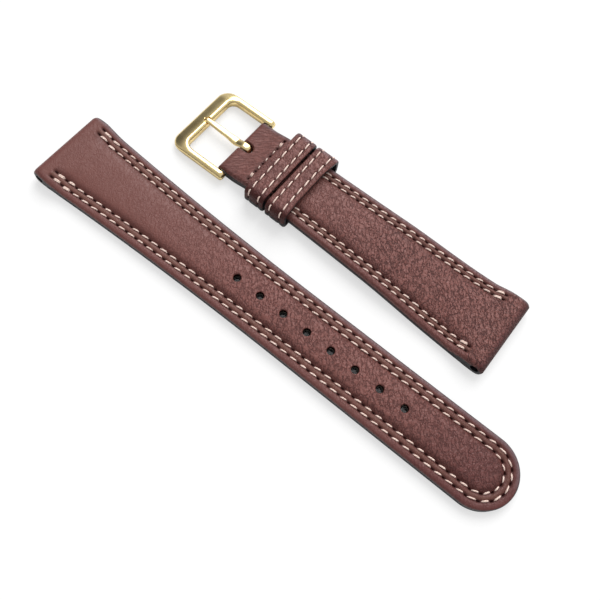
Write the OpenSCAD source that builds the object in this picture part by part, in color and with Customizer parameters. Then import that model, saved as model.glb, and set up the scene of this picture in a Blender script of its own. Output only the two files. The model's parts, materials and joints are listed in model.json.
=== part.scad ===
// Two-piece stitched leather watch strap: a padded long piece with adjusting holes, and a
// padded short piece with a pin buckle on a spring bar, one fixed keeper and one free keeper.
// The straps lie side by side on a flat surface. Lengths run along X, widths along Y.

/* [Long piece] */
// Length from the lug end to the round tip
long_length = 124.2; // [110:0.1:140]
// Length of the tapering part, measured from the lug end
long_taper_length = 69.6; // [50:0.1:80]
// Number of adjusting holes
hole_count = 8; // [4:1:9]
// Distance between neighbouring holes
hole_pitch = 6.43; // [5:0.01:7]
// Distance from the lug end to the first hole
first_hole = 51.75; // [46:0.05:60]
// Radius of one adjusting hole
hole_radius = 0.85; // [0.7:0.05:1.2]

/* [Short piece] */
// Length from the folded buckle end to the lug end
short_length = 75.3; // [70:0.1:85]
// Width of the slot that the tongue swings in
slot_width = 2.5; // [2.2:0.1:3.5]
// Length of the slot, measured from the folded end
slot_length = 3.7; // [3.6:0.1:5]

/* [Widths and thicknesses] */
// Width between the lugs of the watch
lug_width = 20; // [18:1:24]
// Width at the buckle and of the parallel part of the long piece
buckle_width = 16; // [14:0.5:17]
// Thickness of a strap at its edges
edge_thickness = 2.4; // [2.2:0.1:2.8]
// Thickness of the lining leather
lining_thickness = 0.9; // [0.8:0.05:1]
// Thickness of the cover leather over the padding
cover_thickness = 1.1; // [0.9:0.05:1.3]
// Height of the padded middle above the edges
crown = 0.6; // [0.2:0.05:1]
// Radius of the rounded upper edge
rim_radius = 0.6; // [0.3:0.05:0.8]

/* [Lug loops] */
// Outer radius of the loop at a lug end
loop_radius = 2; // [1.8:0.05:2.3]
// Radius of the tunnel for the lug's spring bar
tunnel_radius = 1; // [0.8:0.05:1.2]
// Length of the part at the lugs that keeps its full width
lug_flat = 4; // [2:0.5:6]
// Length of cover leather that is turned under at a lug end
turn_under = 6.5; // [5:0.5:9]

/* [Stitching] */
// Distance of the outer row from the edge
outer_row = 1.75; // [1.6:0.05:2.2]
// Distance between the two rows on the long piece
long_row_gap = 1.55; // [1.4:0.05:2.3]
// Distance between the two rows on the short piece
short_row_gap = 1.3; // [1.2:0.05:1.8]
// Radius of the thread
thread_radius = 0.23; // [0.15:0.01:0.25]
// Length of one stitch with its gap
stitch_pitch = 2.65; // [2:0.05:3.2]
// Gap between two stitches
stitch_gap = 0.6; // [0.4:0.1:0.9]
// Depth of the valley that the thread is pulled into
valley_depth = 0.25; // [0.15:0.01:0.35]
// Distance from the lug end to the first stitch
stitch_start = 4.6; // [4:0.1:8]

/* [Keepers] */
// Width of one keeper along the strap
keeper_width = 5.3; // [4:0.1:6]
// Play at each side between a keeper and the strap where it is widest in the free keeper's travel
keeper_side_play = 0.42; // [0.25:0.01:1]
// Room over the padded strap inside a keeper
keeper_headroom = 1; // [0.8:0.1:3]
// Thickness of a keeper's outer leather
keeper_leather = 0.55; // [0.5:0.05:0.6]
// Thickness of a keeper's lining
keeper_lining_leather = 0.4; // [0.3:0.05:0.5]
// Outer corner radius of the keepers
keeper_corner = 1.8; // [1.4:0.1:2]
// Inner corner radius of the keepers' linings
keeper_inner_corner = 0.5; // [0.3:0.05:0.6]
// Distance from the folded end to the middle of the fixed keeper
fixed_keeper_place = 12.2; // [11.8:0.05:14]
// Gap between the two keepers as they lie
keeper_gap = 0.65; // [0.5:0.05:2]
// Distance between the two stitch rows of a keeper
keeper_row_gap = 2.7; // [2:0.1:3]
// Play between the free keeper and the underside of the strap
keeper_play = 0.1; // [0.05:0.05:0.2]
// Distance that the free keeper can slide towards the lug
keeper_travel = 20; // [5:1:20]

/* [Buckle] */
// Width of one arm of the frame
frame_arm = 2; // [1.6:0.1:3]
// Distance from the bar's axis to the front of the frame
frame_reach = 14.8; // [13:0.05:17]
// Depth of the front bar of the frame
front_bar = 3.8; // [3:0.1:4.5]
// Thickness of the frame
frame_thickness = 2.2; // [2:0.1:2.6]
// Outer corner radius of the frame
frame_corner = 3; // [2:0.1:3.8]
// Clearance between a frame arm and the folded leather
arm_clearance = 0.2; // [0.1:0.05:0.3]
// Width of the tongue's ring
ring_width = 1.9; // [1.6:0.1:2]
// Width of the tongue's shank
tongue_width = 1.3; // [1:0.1:1.5]
// Thickness of the tongue
tongue_thickness = 1; // [0.8:0.05:1.2]
// Length of the tongue that lies on the front bar
tongue_overlap = 1.25; // [0.8:0.05:2]

/* [Spring bar] */
// Outer radius of the folded leather round the bar
fold_radius = 1.55; // [1.5:0.05:1.8]
// Outer radius of the bar's tube
bar_radius = 0.75; // [0.7:0.05:0.8]
// Radius of the bar's tips
tip_radius = 0.36; // [0.3:0.01:0.4]
// Depth of the tips in the frame's arms
tip_depth = 1; // [0.8:0.05:1.2]
// Running clearance of round pins in their bores
running_clearance = 0.05; // [0.03:0.01:0.08]
// Number of turns of the spring in the tube
spring_turns = 12; // [8:1:20]

/* [Layout] */
// Distance between the middle lines of the two pieces as they lie
pieces_apart = 26.7; // [25:0.1:60]
// Distance from the long piece's lug end to the short piece's folded end, along the straps
pieces_offset = 30.1; // [20:0.05:40]

/* [Hidden] */

leather = [0.45, 0.24, 0.2];
lining_leather = [0.3, 0.2, 0.17];
padding = [0.8, 0.76, 0.68];
thread_cream = [0.9, 0.8, 0.68];
gold = [0.86, 0.7, 0.3];
steel = [0.72, 0.73, 0.75];

// A cut reaches this far past the faces that it opens
over = 1;
// Pieces that lie in a recess stay this far off its floor
seat = 0.02;

// The widths run out along curves with these powers, steeper than a straight taper at the lugs
long_taper_power = 2.1;
short_taper_power = 1.7;
// Lengths over which the padded middle rises, on the long piece and at both ends of the short
// one, and over which the folded end and the short piece's lug loop thin out
long_crown_run = 4;
fold_crown_run = 8;
lug_crown_run = 4;
fold_run = 15;
lug_run = 5;
// The strap has reached its full rise this far before the fixed keeper, and is down again this
// far before the last stitches
keeper_run_in = 0.3;
lift_run_out = 8;
// Height of the ridges that the rows push up beside their valleys
ridge = 0.05;

// Half widths, and the rise of the short piece over its keepers
lug_half = lug_width / 2;
buckle_half = buckle_width / 2;
keeper_wall = keeper_leather + keeper_lining_leather;
keeper_lift = keeper_wall + keeper_play;
free_keeper_place = fixed_keeper_place + keeper_width + keeper_gap;
keeper_height = keeper_lift + edge_thickness + crown + keeper_headroom + keeper_wall;
// The far end of the free keeper's travel, where the strap is widest inside it
travel_end = free_keeper_place + keeper_width / 2 + keeper_travel;
keeper_half = short_half(travel_end) + keeper_side_play + keeper_wall;
// The keepers' threads stand out of their valleys by this much
keeper_thread_out = 2 * thread_radius + seat - valley_depth;

// The stitch rows, as distances from the edge
long_rows = [outer_row, outer_row + long_row_gap];
short_rows = [outer_row - 0.1, outer_row - 0.1 + short_row_gap];
// Half widths of a stitch valley at its floor and at its brim
valley_floor = thread_radius + 0.09;
valley_brim = valley_floor + 0.15;
// The underside's stitches lie wholly within their grooves
under_groove = 2 * thread_radius + 2 * seat;

// The buckle and its bar, measured in the short piece's own frame
bar_x = fold_radius;
bar_z = fold_radius;
arm_inner = buckle_half + arm_clearance;
frame_half = arm_inner + frame_arm;
tip_end = arm_inner + tip_depth;
knuckle_radius = frame_thickness / 2;
// The frame hangs from its bar until its front rests on the surface
frame_tilt = asin((bar_z - frame_thickness / 2 - seat) / (frame_reach - front_bar / 4));

// The part's origin is the middle of its bounding box, at the surface that it lies on
side_reach = max(lug_half, frame_half, keeper_half + keeper_thread_out);
long_x = -long_length / 2;
long_y = -(pieces_apart + side_reach - lug_half) / 2;
short_x = long_x + pieces_offset;
short_y = long_y + pieces_apart;

// A smooth step from 0 to 1
function ease(t) = let (c = min(1, max(0, t))) c * c * (3 - 2 * c);
// Evenly spaced values from a to b, in n steps, without the first
function steps(a, b, n) = [for (i = [1 : n]) a + (b - a) * i / n];
// Distances from a rounded end of radius r at which its sections lie
round_turns = [15, 35, 60];
function round_end(r) = [for (a = round_turns) r * (1 - cos(a))];
// Half height of a round end of radius r at distance d from it, as a share of r
function bulge(d, r) = d >= r ? 1 : sqrt(1 - pow(1 - d / r, 2));

// The long piece at distance u from its lug end
tip_centre = long_length - buckle_half;
long_stations = concat(round_end(loop_radius),
    [loop_radius, stitch_start - 1, stitch_start - 0.5],
    steps(stitch_start - 0.5, stitch_start + lug_run, 5),
    steps(stitch_start + lug_run, long_taper_length, 8), [tip_centre]);
function long_half(u) = buckle_half + (lug_half - buckle_half)
    * pow(min(1, max(0, long_taper_length - u) / (long_taper_length - lug_flat)),
        long_taper_power);
function long_top(u) = u < loop_radius ? loop_radius * (1 + bulge(u, loop_radius))
    : edge_thickness + (2 * loop_radius - edge_thickness)
        * (1 - ease((u - loop_radius) / (stitch_start + lug_run - loop_radius)));
function long_under(u) = loop_radius * (1 - bulge(u, loop_radius));
function long_stitched(u) = ease((u - stitch_start + 1) * 2);
function long_crowned(u) = ease((u - stitch_start + 1) / long_crown_run);

// The short piece at distance u from its folded end
under_end = 8.8;
short_stitch_start = free_keeper_place - keeper_width / 2 - 1;
short_stitch_end = short_length - stitch_start;
short_tunnel = short_length - loop_radius;
lift_start = slot_length;
lift_top = fixed_keeper_place - keeper_width / 2 - keeper_run_in;
lift_end = travel_end + over;
lift_gone = short_stitch_end - lift_run_out;
short_stations = concat(round_end(fold_radius), [fold_radius, slot_length],
    steps(slot_length, lift_top, 4),
    [short_stitch_start - 0.5, short_stitch_start],
    steps(short_stitch_start, short_stitch_start + fold_crown_run, 3),
    steps(short_stitch_start + fold_crown_run, lift_end, 2),
    steps(lift_end, short_stitch_end - lug_run, 5),
    steps(short_stitch_end - lug_run, short_stitch_end + 0.5, 5),
    [short_stitch_end + 1, short_tunnel],
    [for (i = [len(round_turns) - 1 : -1 : 0]) short_length - round_end(loop_radius)[i]]);
function short_half(u) = buckle_half + (lug_half - buckle_half)
    * pow(min(1, max(0, u) / (short_length - lug_flat)), short_taper_power);
function short_lift(u) = keeper_lift
    * (ease((u - lift_start) / (lift_top - lift_start))
        - ease((u - lift_end) / (lift_gone - lift_end)));
function short_thick(u) = edge_thickness
    + (2 * fold_radius - edge_thickness) * (1 - ease((u - fold_radius) / fold_run))
    + (2 * loop_radius - edge_thickness)
        * ease((u - short_stitch_end + lug_run) / (short_tunnel - short_stitch_end + lug_run - 0.5));
function short_top(u) = u < fold_radius ? fold_radius * (1 + bulge(u, fold_radius))
    : u > short_tunnel ? loop_radius * (1 + bulge(short_length - u, loop_radius))
    : short_lift(u) + short_thick(u);
function short_under(u) = u < fold_radius ? fold_radius * (1 - bulge(u, fold_radius))
    : u > short_tunnel ? loop_radius * (1 - bulge(short_length - u, loop_radius))
    : short_lift(u);
function short_stitched(u) = ease((u - short_stitch_start + 0.5) * 2)
    * ease((short_stitch_end + 1 - u) * 2);
function short_crowned(u) = ease((u - short_stitch_start) / fold_crown_run)
    * ease((short_stitch_end + 1 - u) / lug_crown_run);

// Tables of both pieces, so that what lies on a skin follows its straight facets
long_table = [for (u = long_stations) [u, long_half(u), long_top(u), long_under(u)]];
short_table = [for (u = short_stations) [u, short_half(u), short_top(u), short_under(u)]];
function column(table, k) = [for (row = table) [row[0], row[k]]];
function half_at(table, u) = lookup(u, column(table, 1));
function top_at(table, u) = lookup(u, column(table, 2));
function under_at(table, u) = lookup(u, column(table, 3));

// Half cross-sections: lists of [distance from the middle, height], from the middle of the
// upper face over the edge to the middle of the underside. The padded middle's curve, inwards
fractions = [0.85, 0.6, 0.3, 0];
function reversed(list) = [for (i = [len(list) - 1 : -1 : 0]) list[i]];
function padded(half, top, rows, rise) = let (inner = half - rows[1] - valley_brim)
    [for (f = fractions) [inner * f, top + rise * (1 - f * f * f)]];

// A pad's upper face, which lies a cover's thickness under the cover, or level with low if
// the padding hasn't started
function pad_top(half, top, low, rows, padded_here) = padded_here
    ? concat([[half - rows[1] - valley_brim, low + 0.1]], padded(half, top - cover_thickness, rows, crown))
    : concat([[half - rows[1] - valley_brim, low]], padded(half, low, rows, 0));

// A cover's: its upper face, its rounded rim, and its underside with the space for the pad
function cover_half(half, top, under, low, rows, stitched, crowned, padded_here) =
    let (rim = rim_radius * min(1, (top - under) / edge_thickness))
    concat(
        reversed(padded(half, top + ridge * stitched, rows, crown * crowned)),
        [for (i = [1, 0]) each [
            [half - rows[i] - valley_brim, top + ridge * stitched],
            [half - rows[i] - valley_floor, top - valley_depth * stitched],
            [half - rows[i] + valley_floor, top - valley_depth * stitched],
            [half - rows[i] + valley_brim, top + ridge * i * stitched]]],
        [for (a = [90, 60, 30, 0]) [half - rim * (1 - cos(a)), top - rim * (1 - sin(a))]],
        [[half, low]],
        pad_top(half, top, low, rows, padded_here));

// A pad's
function pad_half(half, top, low, rows) =
    concat(reversed(pad_top(half, top - seat, low, rows, true)),
        [[half - rows[1] - valley_brim, low], [0, low]]);

// A lining's, with grooves of some depth for the underside's stitches
function lining_half(half, under, rows, depth) = concat(
    [[0, under + lining_thickness], [half, under + lining_thickness], [half, under]],
    [for (r = rows) each [
        [half - r + valley_floor + 0.05, under], [half - r + valley_floor, under + depth],
        [half - r - valley_floor, under + depth], [half - r - valley_floor - 0.05, under]]],
    [[0, under]]);

// The two triangles of a grid's cell, without those that have shrunk to a line
function cell(a, b, c, d) = [for (t = [[a, b, c], [a, c, d]])
    if (t[0] != t[1] && t[1] != t[2] && t[2] != t[0]) t];

// The triangles of an end cap between the upper and the lower points of a half cross-section,
// both listed from the middle outwards; each step moves on along the list that lags behind
function cap(half, up, low, i = 0, j = 0) =
    i == len(up) - 1 && j == len(low) - 1 ? []
    : j == len(low) - 1 || (i < len(up) - 1 && half[up[i + 1]][0] <= half[low[j + 1]][0])
        ? concat([[up[i], up[i + 1], low[j]]], cap(half, up, low, i + 1, j))
        : concat([[up[i], low[j + 1], low[j]]], cap(half, up, low, i, j + 1));
function half_cap(half, edge) = cap(half, [for (k = [0 : edge]) k],
    [for (k = [len(half) - 1 : -1 : edge + 1]) k]);
// The place of a half cross-section's upper edge point, over the first vertical step down
function edge_of(half) = [for (k = [1 : len(half) - 1])
    if (half[k][0] == half[k - 1][0] && half[k][1] < half[k - 1][1]) k - 1][0];

// A closed body through half cross-sections, mirrored at the middle, with straight ends
module straight_ended(stations, halves) {
    last = len(halves[0]) - 1;
    n = 2 * last;
    m = len(stations);
    edge = edge_of(halves[0]);
    function mirrored(k) = (n - k) % n;
    polyhedron(points = [for (j = [0 : m - 1]) each concat(
            [for (p = halves[j]) [stations[j], p[0], p[1]]],
            [for (k = [last - 1 : -1 : 1]) [stations[j], -halves[j][k][0], halves[j][k][1]]])],
        faces = concat(
            [for (t = half_cap(halves[0], edge)) each [
                [t[0], t[2], t[1]], [mirrored(t[0]), mirrored(t[1]), mirrored(t[2])]]],
            [for (j = [0 : m - 2], i = [0 : n - 1]) let (k = (i + 1) % n)
                each cell(j * n + i, j * n + k, (j + 1) * n + k, (j + 1) * n + i)],
            [for (t = half_cap(halves[m - 1], edge)) let (o = (m - 1) * n) each [
                [o + t[0], o + t[1], o + t[2]],
                [o + mirrored(t[0]), o + mirrored(t[2]), o + mirrored(t[1])]]]));
}

// The same with a round end: down one side of the long piece, round its tip, where the last
// half section is turned, and back up the other side
tip_turns = [for (a = [-78 : 12 : 78]) a];

module round_ended(stations, halves) {
    n = len(stations);
    t = len(tip_turns);
    all = 2 * n + t;
    last = len(halves[0]) - 1;
    function placed(j) = j < n ? [for (p = halves[j]) [stations[j], -p[0], p[1]]]
        : j >= n + t ? [for (p = halves[all - 1 - j]) [stations[all - 1 - j], p[0], p[1]]]
        : [for (p = halves[n - 1]) [stations[n - 1] + p[0] * cos(tip_turns[j - n]),
            p[0] * sin(tip_turns[j - n]), p[1]]];
    function middle(j) = j < n ? j : j >= n + t ? all - 1 - j : n - 1;
    function at(j, k) = k == 0 ? all * (last - 1) + middle(j)
        : k == last ? all * (last - 1) + n + middle(j) : j * (last - 1) + k - 1;
    polyhedron(points = concat(
            [for (j = [0 : all - 1]) let (row = placed(j)) each [for (k = [1 : last - 1]) row[k]]],
            [for (i = [0 : n - 1]) [stations[i], 0, halves[i][0][1]]],
            [for (i = [0 : n - 1]) [stations[i], 0, halves[i][last][1]]]),
        faces = concat(
            [for (f = half_cap(halves[0], edge_of(halves[0]))) each [
                [at(0, f[0]), at(0, f[1]), at(0, f[2])],
                [at(all - 1, f[0]), at(all - 1, f[2]), at(all - 1, f[1])]]],
            [for (j = [0 : all - 2], k = [0 : last - 1])
                each cell(at(j, k), at(j + 1, k), at(j + 1, k + 1), at(j, k + 1))]));
}

// A closed skin through loops with equal numbers of points
module skin(loops) {
    n = len(loops[0]);
    m = len(loops);
    polyhedron(points = [for (s = loops) each s],
        faces = concat([[for (i = [n - 1 : -1 : 0]) i]],
            [for (j = [0 : m - 2], i = [0 : n - 1]) let (k = (i + 1) % n)
                each cell(j * n + i, j * n + k, (j + 1) * n + k, (j + 1) * n + i)],
            [[for (i = [0 : n - 1]) (m - 1) * n + i]]));
}

// A pin or a bore across a strap, from side to side
module cross_pin(x, z, radius, length) {
    translate([x, 0, z]) rotate([90, 0, 0])
        cylinder(r = radius, h = length, center = true, $fn = 48);
}

// The adjusting holes, through every layer of the long piece
module adjusting_holes() {
    for (i = [0 : hole_count - 1]) translate([first_hole + i * hole_pitch, 0, -over])
        cylinder(r = hole_radius, h = 2 * loop_radius + 2 * over, $fn = 36);
}

// The stations of a table between two places, with both places
function between(table, first, last) = concat([first],
    [for (row = table) if (row[0] > first && row[0] < last) row[0]], [last]);
// The stations of a table with a pair of stations added at each place where a step lies
step_width = 0.02;
function stepped(table, places) = [for (i = [0 : len(table) - 1])
    let (here = table[i][0], before = i == 0 ? here : table[i - 1][0])
    each concat([for (p = places) if (p > before && p < here) each [p - step_width, p]],
        [for (p = places) if (p == here) p - step_width], [here])];

// Both pieces' paddings start and end here
long_pad_start = turn_under + 1.5;
short_pad_start = short_stitch_start + 5;
short_pad_end = short_length - turn_under - 1.5;
short_lining_end = short_length - turn_under;
// The underside's grooves start this far from a lining's ends
groove_start = 0.5;

module long_pad() {
    stations = between(long_table, long_pad_start, tip_centre);
    color(padding) translate([long_x, long_y, 0]) difference() {
        round_ended(stations, [for (u = stations)
            pad_half(half_at(long_table, u), top_at(long_table, u), lining_thickness, long_rows)]);
        adjusting_holes();
    }
}

module long_cover() {
    stations = stepped(long_table, [turn_under, long_pad_start]);
    color(leather) translate([long_x, long_y, 0]) difference() {
        round_ended(stations, [for (u = stations) cover_half(half_at(long_table, u),
            top_at(long_table, u), under_at(long_table, u),
            u < turn_under ? under_at(long_table, u) : lining_thickness, long_rows,
            long_stitched(u), long_crowned(u), u >= long_pad_start)]);
        cross_pin(loop_radius, loop_radius, tunnel_radius, lug_width + 2 * over);
        adjusting_holes();
    }
}

module long_lining() {
    stations = concat([turn_under], between(long_table, turn_under + groove_start, tip_centre));
    color(lining_leather) translate([long_x, long_y, 0]) difference() {
        round_ended(stations, [for (u = stations) lining_half(half_at(long_table, u), 0, long_rows,
            u > turn_under ? under_groove : 0)]);
        adjusting_holes();
    }
}

module short_cover() {
    stations = stepped(short_table, [under_end, short_pad_start, short_pad_end + step_width,
        short_lining_end + step_width]);
    function lined(u) = u >= under_end && u <= short_lining_end;
    color(leather) translate([short_x, short_y, 0]) difference() {
        straight_ended(stations, [for (u = stations) let (under = under_at(short_table, u))
            cover_half(half_at(short_table, u), top_at(short_table, u), under,
                lined(u) ? under + lining_thickness : under, short_rows, short_stitched(u),
                short_crowned(u), u >= short_pad_start && u <= short_pad_end)]);
        cross_pin(short_tunnel, loop_radius, tunnel_radius, lug_width + 2 * over);
        cross_pin(bar_x, bar_z, bar_radius + running_clearance, lug_width + 2 * over);
        tongue_slot();
        fold_groove();
    }
}

module short_pad() {
    stations = between(short_table, short_pad_start, short_pad_end);
    color(padding) translate([short_x, short_y, 0])
        straight_ended(stations, [for (u = stations) pad_half(half_at(short_table, u),
            top_at(short_table, u), under_at(short_table, u) + lining_thickness, short_rows)]);
}

module short_lining() {
    stations = concat([under_end],
        between(short_table, under_end + groove_start, short_lining_end - groove_start),
        [short_lining_end]);
    color(lining_leather) translate([short_x, short_y, 0])
        straight_ended(stations, [for (u = stations) lining_half(half_at(short_table, u),
            under_at(short_table, u), short_rows,
            u > under_end && u < short_lining_end ? under_groove : 0)]);
}

// The slot in the folded end, round where it stops
module tongue_slot() {
    translate([slot_length - slot_width / 2, 0, -over]) {
        cylinder(d = slot_width, h = 2 * fold_radius + 2 * over, $fn = 36);
        translate([-slot_length, -slot_width / 2, 0])
            cube([slot_length, slot_width, 2 * fold_radius + 2 * over]);
    }
}

// One straight stitch between two points
module stitch(from, to) {
    d = to - from;
    translate(from) rotate([0, acos(d[2] / norm(d)), atan2(d[1], d[0])])
        cylinder(r = thread_radius, h = norm(d), $fn = 16);
}

// One curved stitch round a centre, in the plane of the caller
module curved_stitch(radius, start, turn) {
    rotate([0, 0, start]) rotate_extrude(angle = turn, $fn = 48)
        translate([radius, 0]) circle(r = thread_radius, $fn = 16);
}

// Both sides' stitches of one row, on the upper face and on the lining
module side_stitches(table, row, from, to, lift_from) {
    count = round((to - from) / stitch_pitch);
    pitch = (to - from) / count;
    function on_top(u, side) = [u, side * (half_at(table, u) - row),
        top_at(table, u) - valley_depth + thread_radius + seat];
    function below(u, side) = [u, side * (half_at(table, u) - row),
        under_at(table, u) + thread_radius + seat];
    for (side = [-1, 1], i = [0 : count - 1]) {
        a = from + i * pitch + stitch_gap / 2;
        b = from + (i + 1) * pitch - stitch_gap / 2;
        stitch(on_top(a, side), on_top(b, side));
        if (a > lift_from[0] && b < lift_from[1]) stitch(below(a, side), below(b, side));
    }
}

// The stitches round the tip of the long piece, on both faces
module tip_stitches(row) {
    radius = buckle_half - row;
    count = round(PI * radius / stitch_pitch);
    turn = 180 / count;
    gap = stitch_gap / radius * 180 / PI;
    for (z = [edge_thickness - valley_depth + thread_radius + seat, thread_radius + seat],
            i = [0 : count - 1])
        translate([tip_centre, 0, z]) curved_stitch(radius, -90 + i * turn + gap / 2, turn - gap);
}

module long_thread(row) {
    color(thread_cream) translate([long_x, long_y, 0]) {
        side_stitches(long_table, row, stitch_start, tip_centre, [turn_under, tip_centre]);
        tip_stitches(row);
    }
}

module long_outer_thread() {
    long_thread(long_rows[0]);
}

module long_inner_thread() {
    long_thread(long_rows[1]);
}

module short_thread(row) {
    color(thread_cream) translate([short_x, short_y, 0])
        side_stitches(short_table, row, short_stitch_start, short_stitch_end,
            [short_stitch_start, short_length - turn_under]);
}

module short_outer_thread() {
    short_thread(short_rows[0]);
}

module short_inner_thread() {
    short_thread(short_rows[1]);
}

// The cross row that holds the folded end, in a shallow groove
fold_row = 7.9;
fold_stitches = 5;
fold_row_half = fold_stitches * stitch_pitch / 2 - stitch_gap / 2;
fold_row_z = short_top(fold_row) - valley_depth;

module fold_groove() {
    translate([fold_row - valley_floor, -fold_row_half - 0.1, fold_row_z])
        cube([2 * valley_floor, 2 * fold_row_half + 0.2, over]);
}

module fold_thread() {
    z = fold_row_z + thread_radius + seat;
    color(thread_cream) translate([short_x, short_y, 0])
        for (i = [0 : fold_stitches - 1]) {
            from = -fold_row_half + i * stitch_pitch;
            stitch([fold_row, from, z], [fold_row, from + stitch_pitch - stitch_gap, z]);
        }
}

// A rectangle with round corners across the strap, standing on height low
module loop_outline(half, low, high, radius) {
    translate([-half, low + radius]) square([2 * half, high - low - 2 * radius]);
    translate([-half + radius, low]) square([2 * (half - radius), high - low]);
    for (y = [-half + radius, half - radius], z = [low + radius, high - radius])
        translate([y, z]) circle(r = radius, $fn = 48);
}

// A keeper's layer between two depths under its outer face; low is its floor's upper side
module keeper_layer(middle, outer_depth, inner_depth, low, inner_corner) {
    translate([short_x + middle - keeper_width / 2, short_y, 0]) rotate([90, 0, 90])
        linear_extrude(keeper_width) difference() {
            loop_outline(keeper_half - outer_depth, outer_depth, keeper_height - outer_depth,
                keeper_corner - outer_depth);
            loop_outline(keeper_half - inner_depth, low, keeper_height - inner_depth, inner_corner);
        }
}

// The valleys round a keeper that its stitches lie in
module keeper_valleys(middle) {
    for (side = [-1, 1])
        translate([short_x + middle + side * keeper_row_gap / 2 - valley_floor, short_y, 0])
            rotate([90, 0, 90]) linear_extrude(2 * valley_floor) difference() {
                square([4 * keeper_half, 4 * keeper_height], center = true);
                loop_outline(keeper_half - valley_depth, under_seat, keeper_height - valley_depth,
                    keeper_corner - valley_depth);
            }
}
under_seat = min(2 * thread_radius + 2 * seat, keeper_leather - 0.05);

module keeper_leather_loop(middle) {
    color(leather) difference() {
        keeper_layer(middle, 0, keeper_leather, keeper_leather, keeper_corner - keeper_leather);
        keeper_valleys(middle);
    }
}

// Two rows of stitches over the top, the shoulders and the sides of a keeper
module keeper_stitches(middle) {
    depth = valley_depth - thread_radius - seat;
    flat_half = keeper_half - keeper_corner;
    count = floor(2 * flat_half / stitch_pitch);
    pitch = 2 * flat_half / count;
    top_z = keeper_height - depth;
    side_y = keeper_half - depth;
    shoulder_z = keeper_height - keeper_corner;
    color(thread_cream) for (x = [-1, 1] * keeper_row_gap / 2)
        translate([short_x + middle + x, short_y, 0]) {
            for (i = [0 : count - 1]) {
                from = -flat_half + i * pitch + stitch_gap / 2;
                stitch([0, from, top_z], [0, from + pitch - stitch_gap, top_z]);
            }
            for (side = [-1, 1]) {
                translate([0, side * flat_half, shoulder_z]) rotate([90, 0, 90])
                    curved_stitch(keeper_corner - depth, side > 0 ? 15 : 105, 60);
                stitch([0, side * side_y, keeper_corner + 0.2],
                    [0, side * side_y, shoulder_z - 0.2]);
            }
        }
}

module fixed_keeper() {
    keeper_leather_loop(fixed_keeper_place);
}

module fixed_keeper_lining() {
    color(lining_leather)
        keeper_layer(fixed_keeper_place, keeper_leather, keeper_wall, keeper_lift,
            keeper_inner_corner);
}

module fixed_keeper_thread() {
    keeper_stitches(fixed_keeper_place);
}

module free_keeper() {
    keeper_leather_loop(free_keeper_place);
}

module free_keeper_lining() {
    color(lining_leather)
        keeper_layer(free_keeper_place, keeper_leather, keeper_wall, keeper_wall,
            keeper_inner_corner);
}

module free_keeper_thread() {
    keeper_stitches(free_keeper_place);
}

// The buckle's pieces are drawn round the bar's axis, and then hung on it
module on_bar() {
    translate([short_x + bar_x, short_y, bar_z]) rotate([0, -frame_tilt, 0]) children();
}

// The frame from above: two arms and a front bar, with its corners round
module frame_plan() {
    inner_corner = max(0.5, frame_corner - 0.7 * frame_arm);
    difference() {
        union() {
            translate([-frame_reach + frame_corner, -frame_half])
                square([frame_reach - frame_corner + knuckle_radius, 2 * frame_half]);
            translate([-frame_reach, -frame_half + frame_corner])
                square([frame_corner, 2 * (frame_half - frame_corner)]);
            for (side = [-1, 1])
                translate([-frame_reach + frame_corner, side * (frame_half - frame_corner)])
                    circle(r = frame_corner, $fn = 64);
        }
        translate([-frame_reach + front_bar + inner_corner, -arm_inner])
            square([frame_reach + knuckle_radius, 2 * arm_inner]);
        translate([-frame_reach + front_bar, -arm_inner + inner_corner])
            square([2 * inner_corner, 2 * (arm_inner - inner_corner)]);
        for (side = [-1, 1])
            translate([-frame_reach + front_bar + inner_corner, side * (arm_inner - inner_corner)])
                circle(r = inner_corner, $fn = 64);
    }
}

// The frame from the side: round at the bar, domed over the front bar
module frame_side() {
    flat = frame_thickness / 2;
    dome = front_bar * 0.7;
    circle(r = knuckle_radius, $fn = 48);
    translate([-frame_reach + dome, -flat]) square([frame_reach - dome, frame_thickness]);
    translate([-frame_reach + dome, 0])
        polygon([for (a = [90 : 10 : 270]) [dome * cos(a), flat * sin(a)]]);
}

module buckle_frame() {
    color(gold) on_bar() difference() {
        intersection() {
            translate([0, 0, -frame_thickness]) linear_extrude(2 * frame_thickness) frame_plan();
            rotate([90, 0, 0]) translate([0, 0, -frame_half])
                linear_extrude(2 * frame_half) frame_side();
            translate([-frame_reach - over, 0, 0]) rotate([90, 0, 90])
                linear_extrude(frame_reach + knuckle_radius + 2 * over)
                    loop_outline(frame_half, -frame_thickness / 2, frame_thickness / 2, 0.7);
        }
        for (side = [-1, 1])
            translate([0, side * (arm_inner + tip_depth / 2), 0]) rotate([90, 0, 0])
                cylinder(r = tip_radius + running_clearance, h = tip_depth + 2 * seat,
                    center = true, $fn = 36);
        tongue_notch();
    }
}

// The notch in the front bar that the tongue's tip rests in
notch_depth = 0.5;
notch_play = 0.15;
tongue_reach = frame_reach - front_bar + tongue_overlap;

module tongue_notch() {
    half = tongue_width / 2 + notch_play;
    top = frame_thickness / 2 - notch_depth;
    translate([-tongue_reach + half - notch_play, 0, top]) {
        cylinder(r = half, h = over, $fn = 36);
        translate([0, -half, 0]) cube([front_bar, 2 * half, over]);
    }
}

// The tongue: a ring round the bar, and a narrower shank that dips behind the ring and rests on
// the notch's floor
tongue_ring = 1.35;
// Height of the shank's upper side behind the ring, over the bar's axis
shank_top = 0.9;
// The ring's upper side runs down to the shank over this length, and its width over this stretch
ring_run = 2.2;
ring_taper = [1.1, 2.6];
// The shank has risen to the notch's floor this far before the front bar
rise_end = frame_reach - front_bar - 0.5;
// The tip's thickness, as a share of the shank's
tip_share = 0.6;

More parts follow.
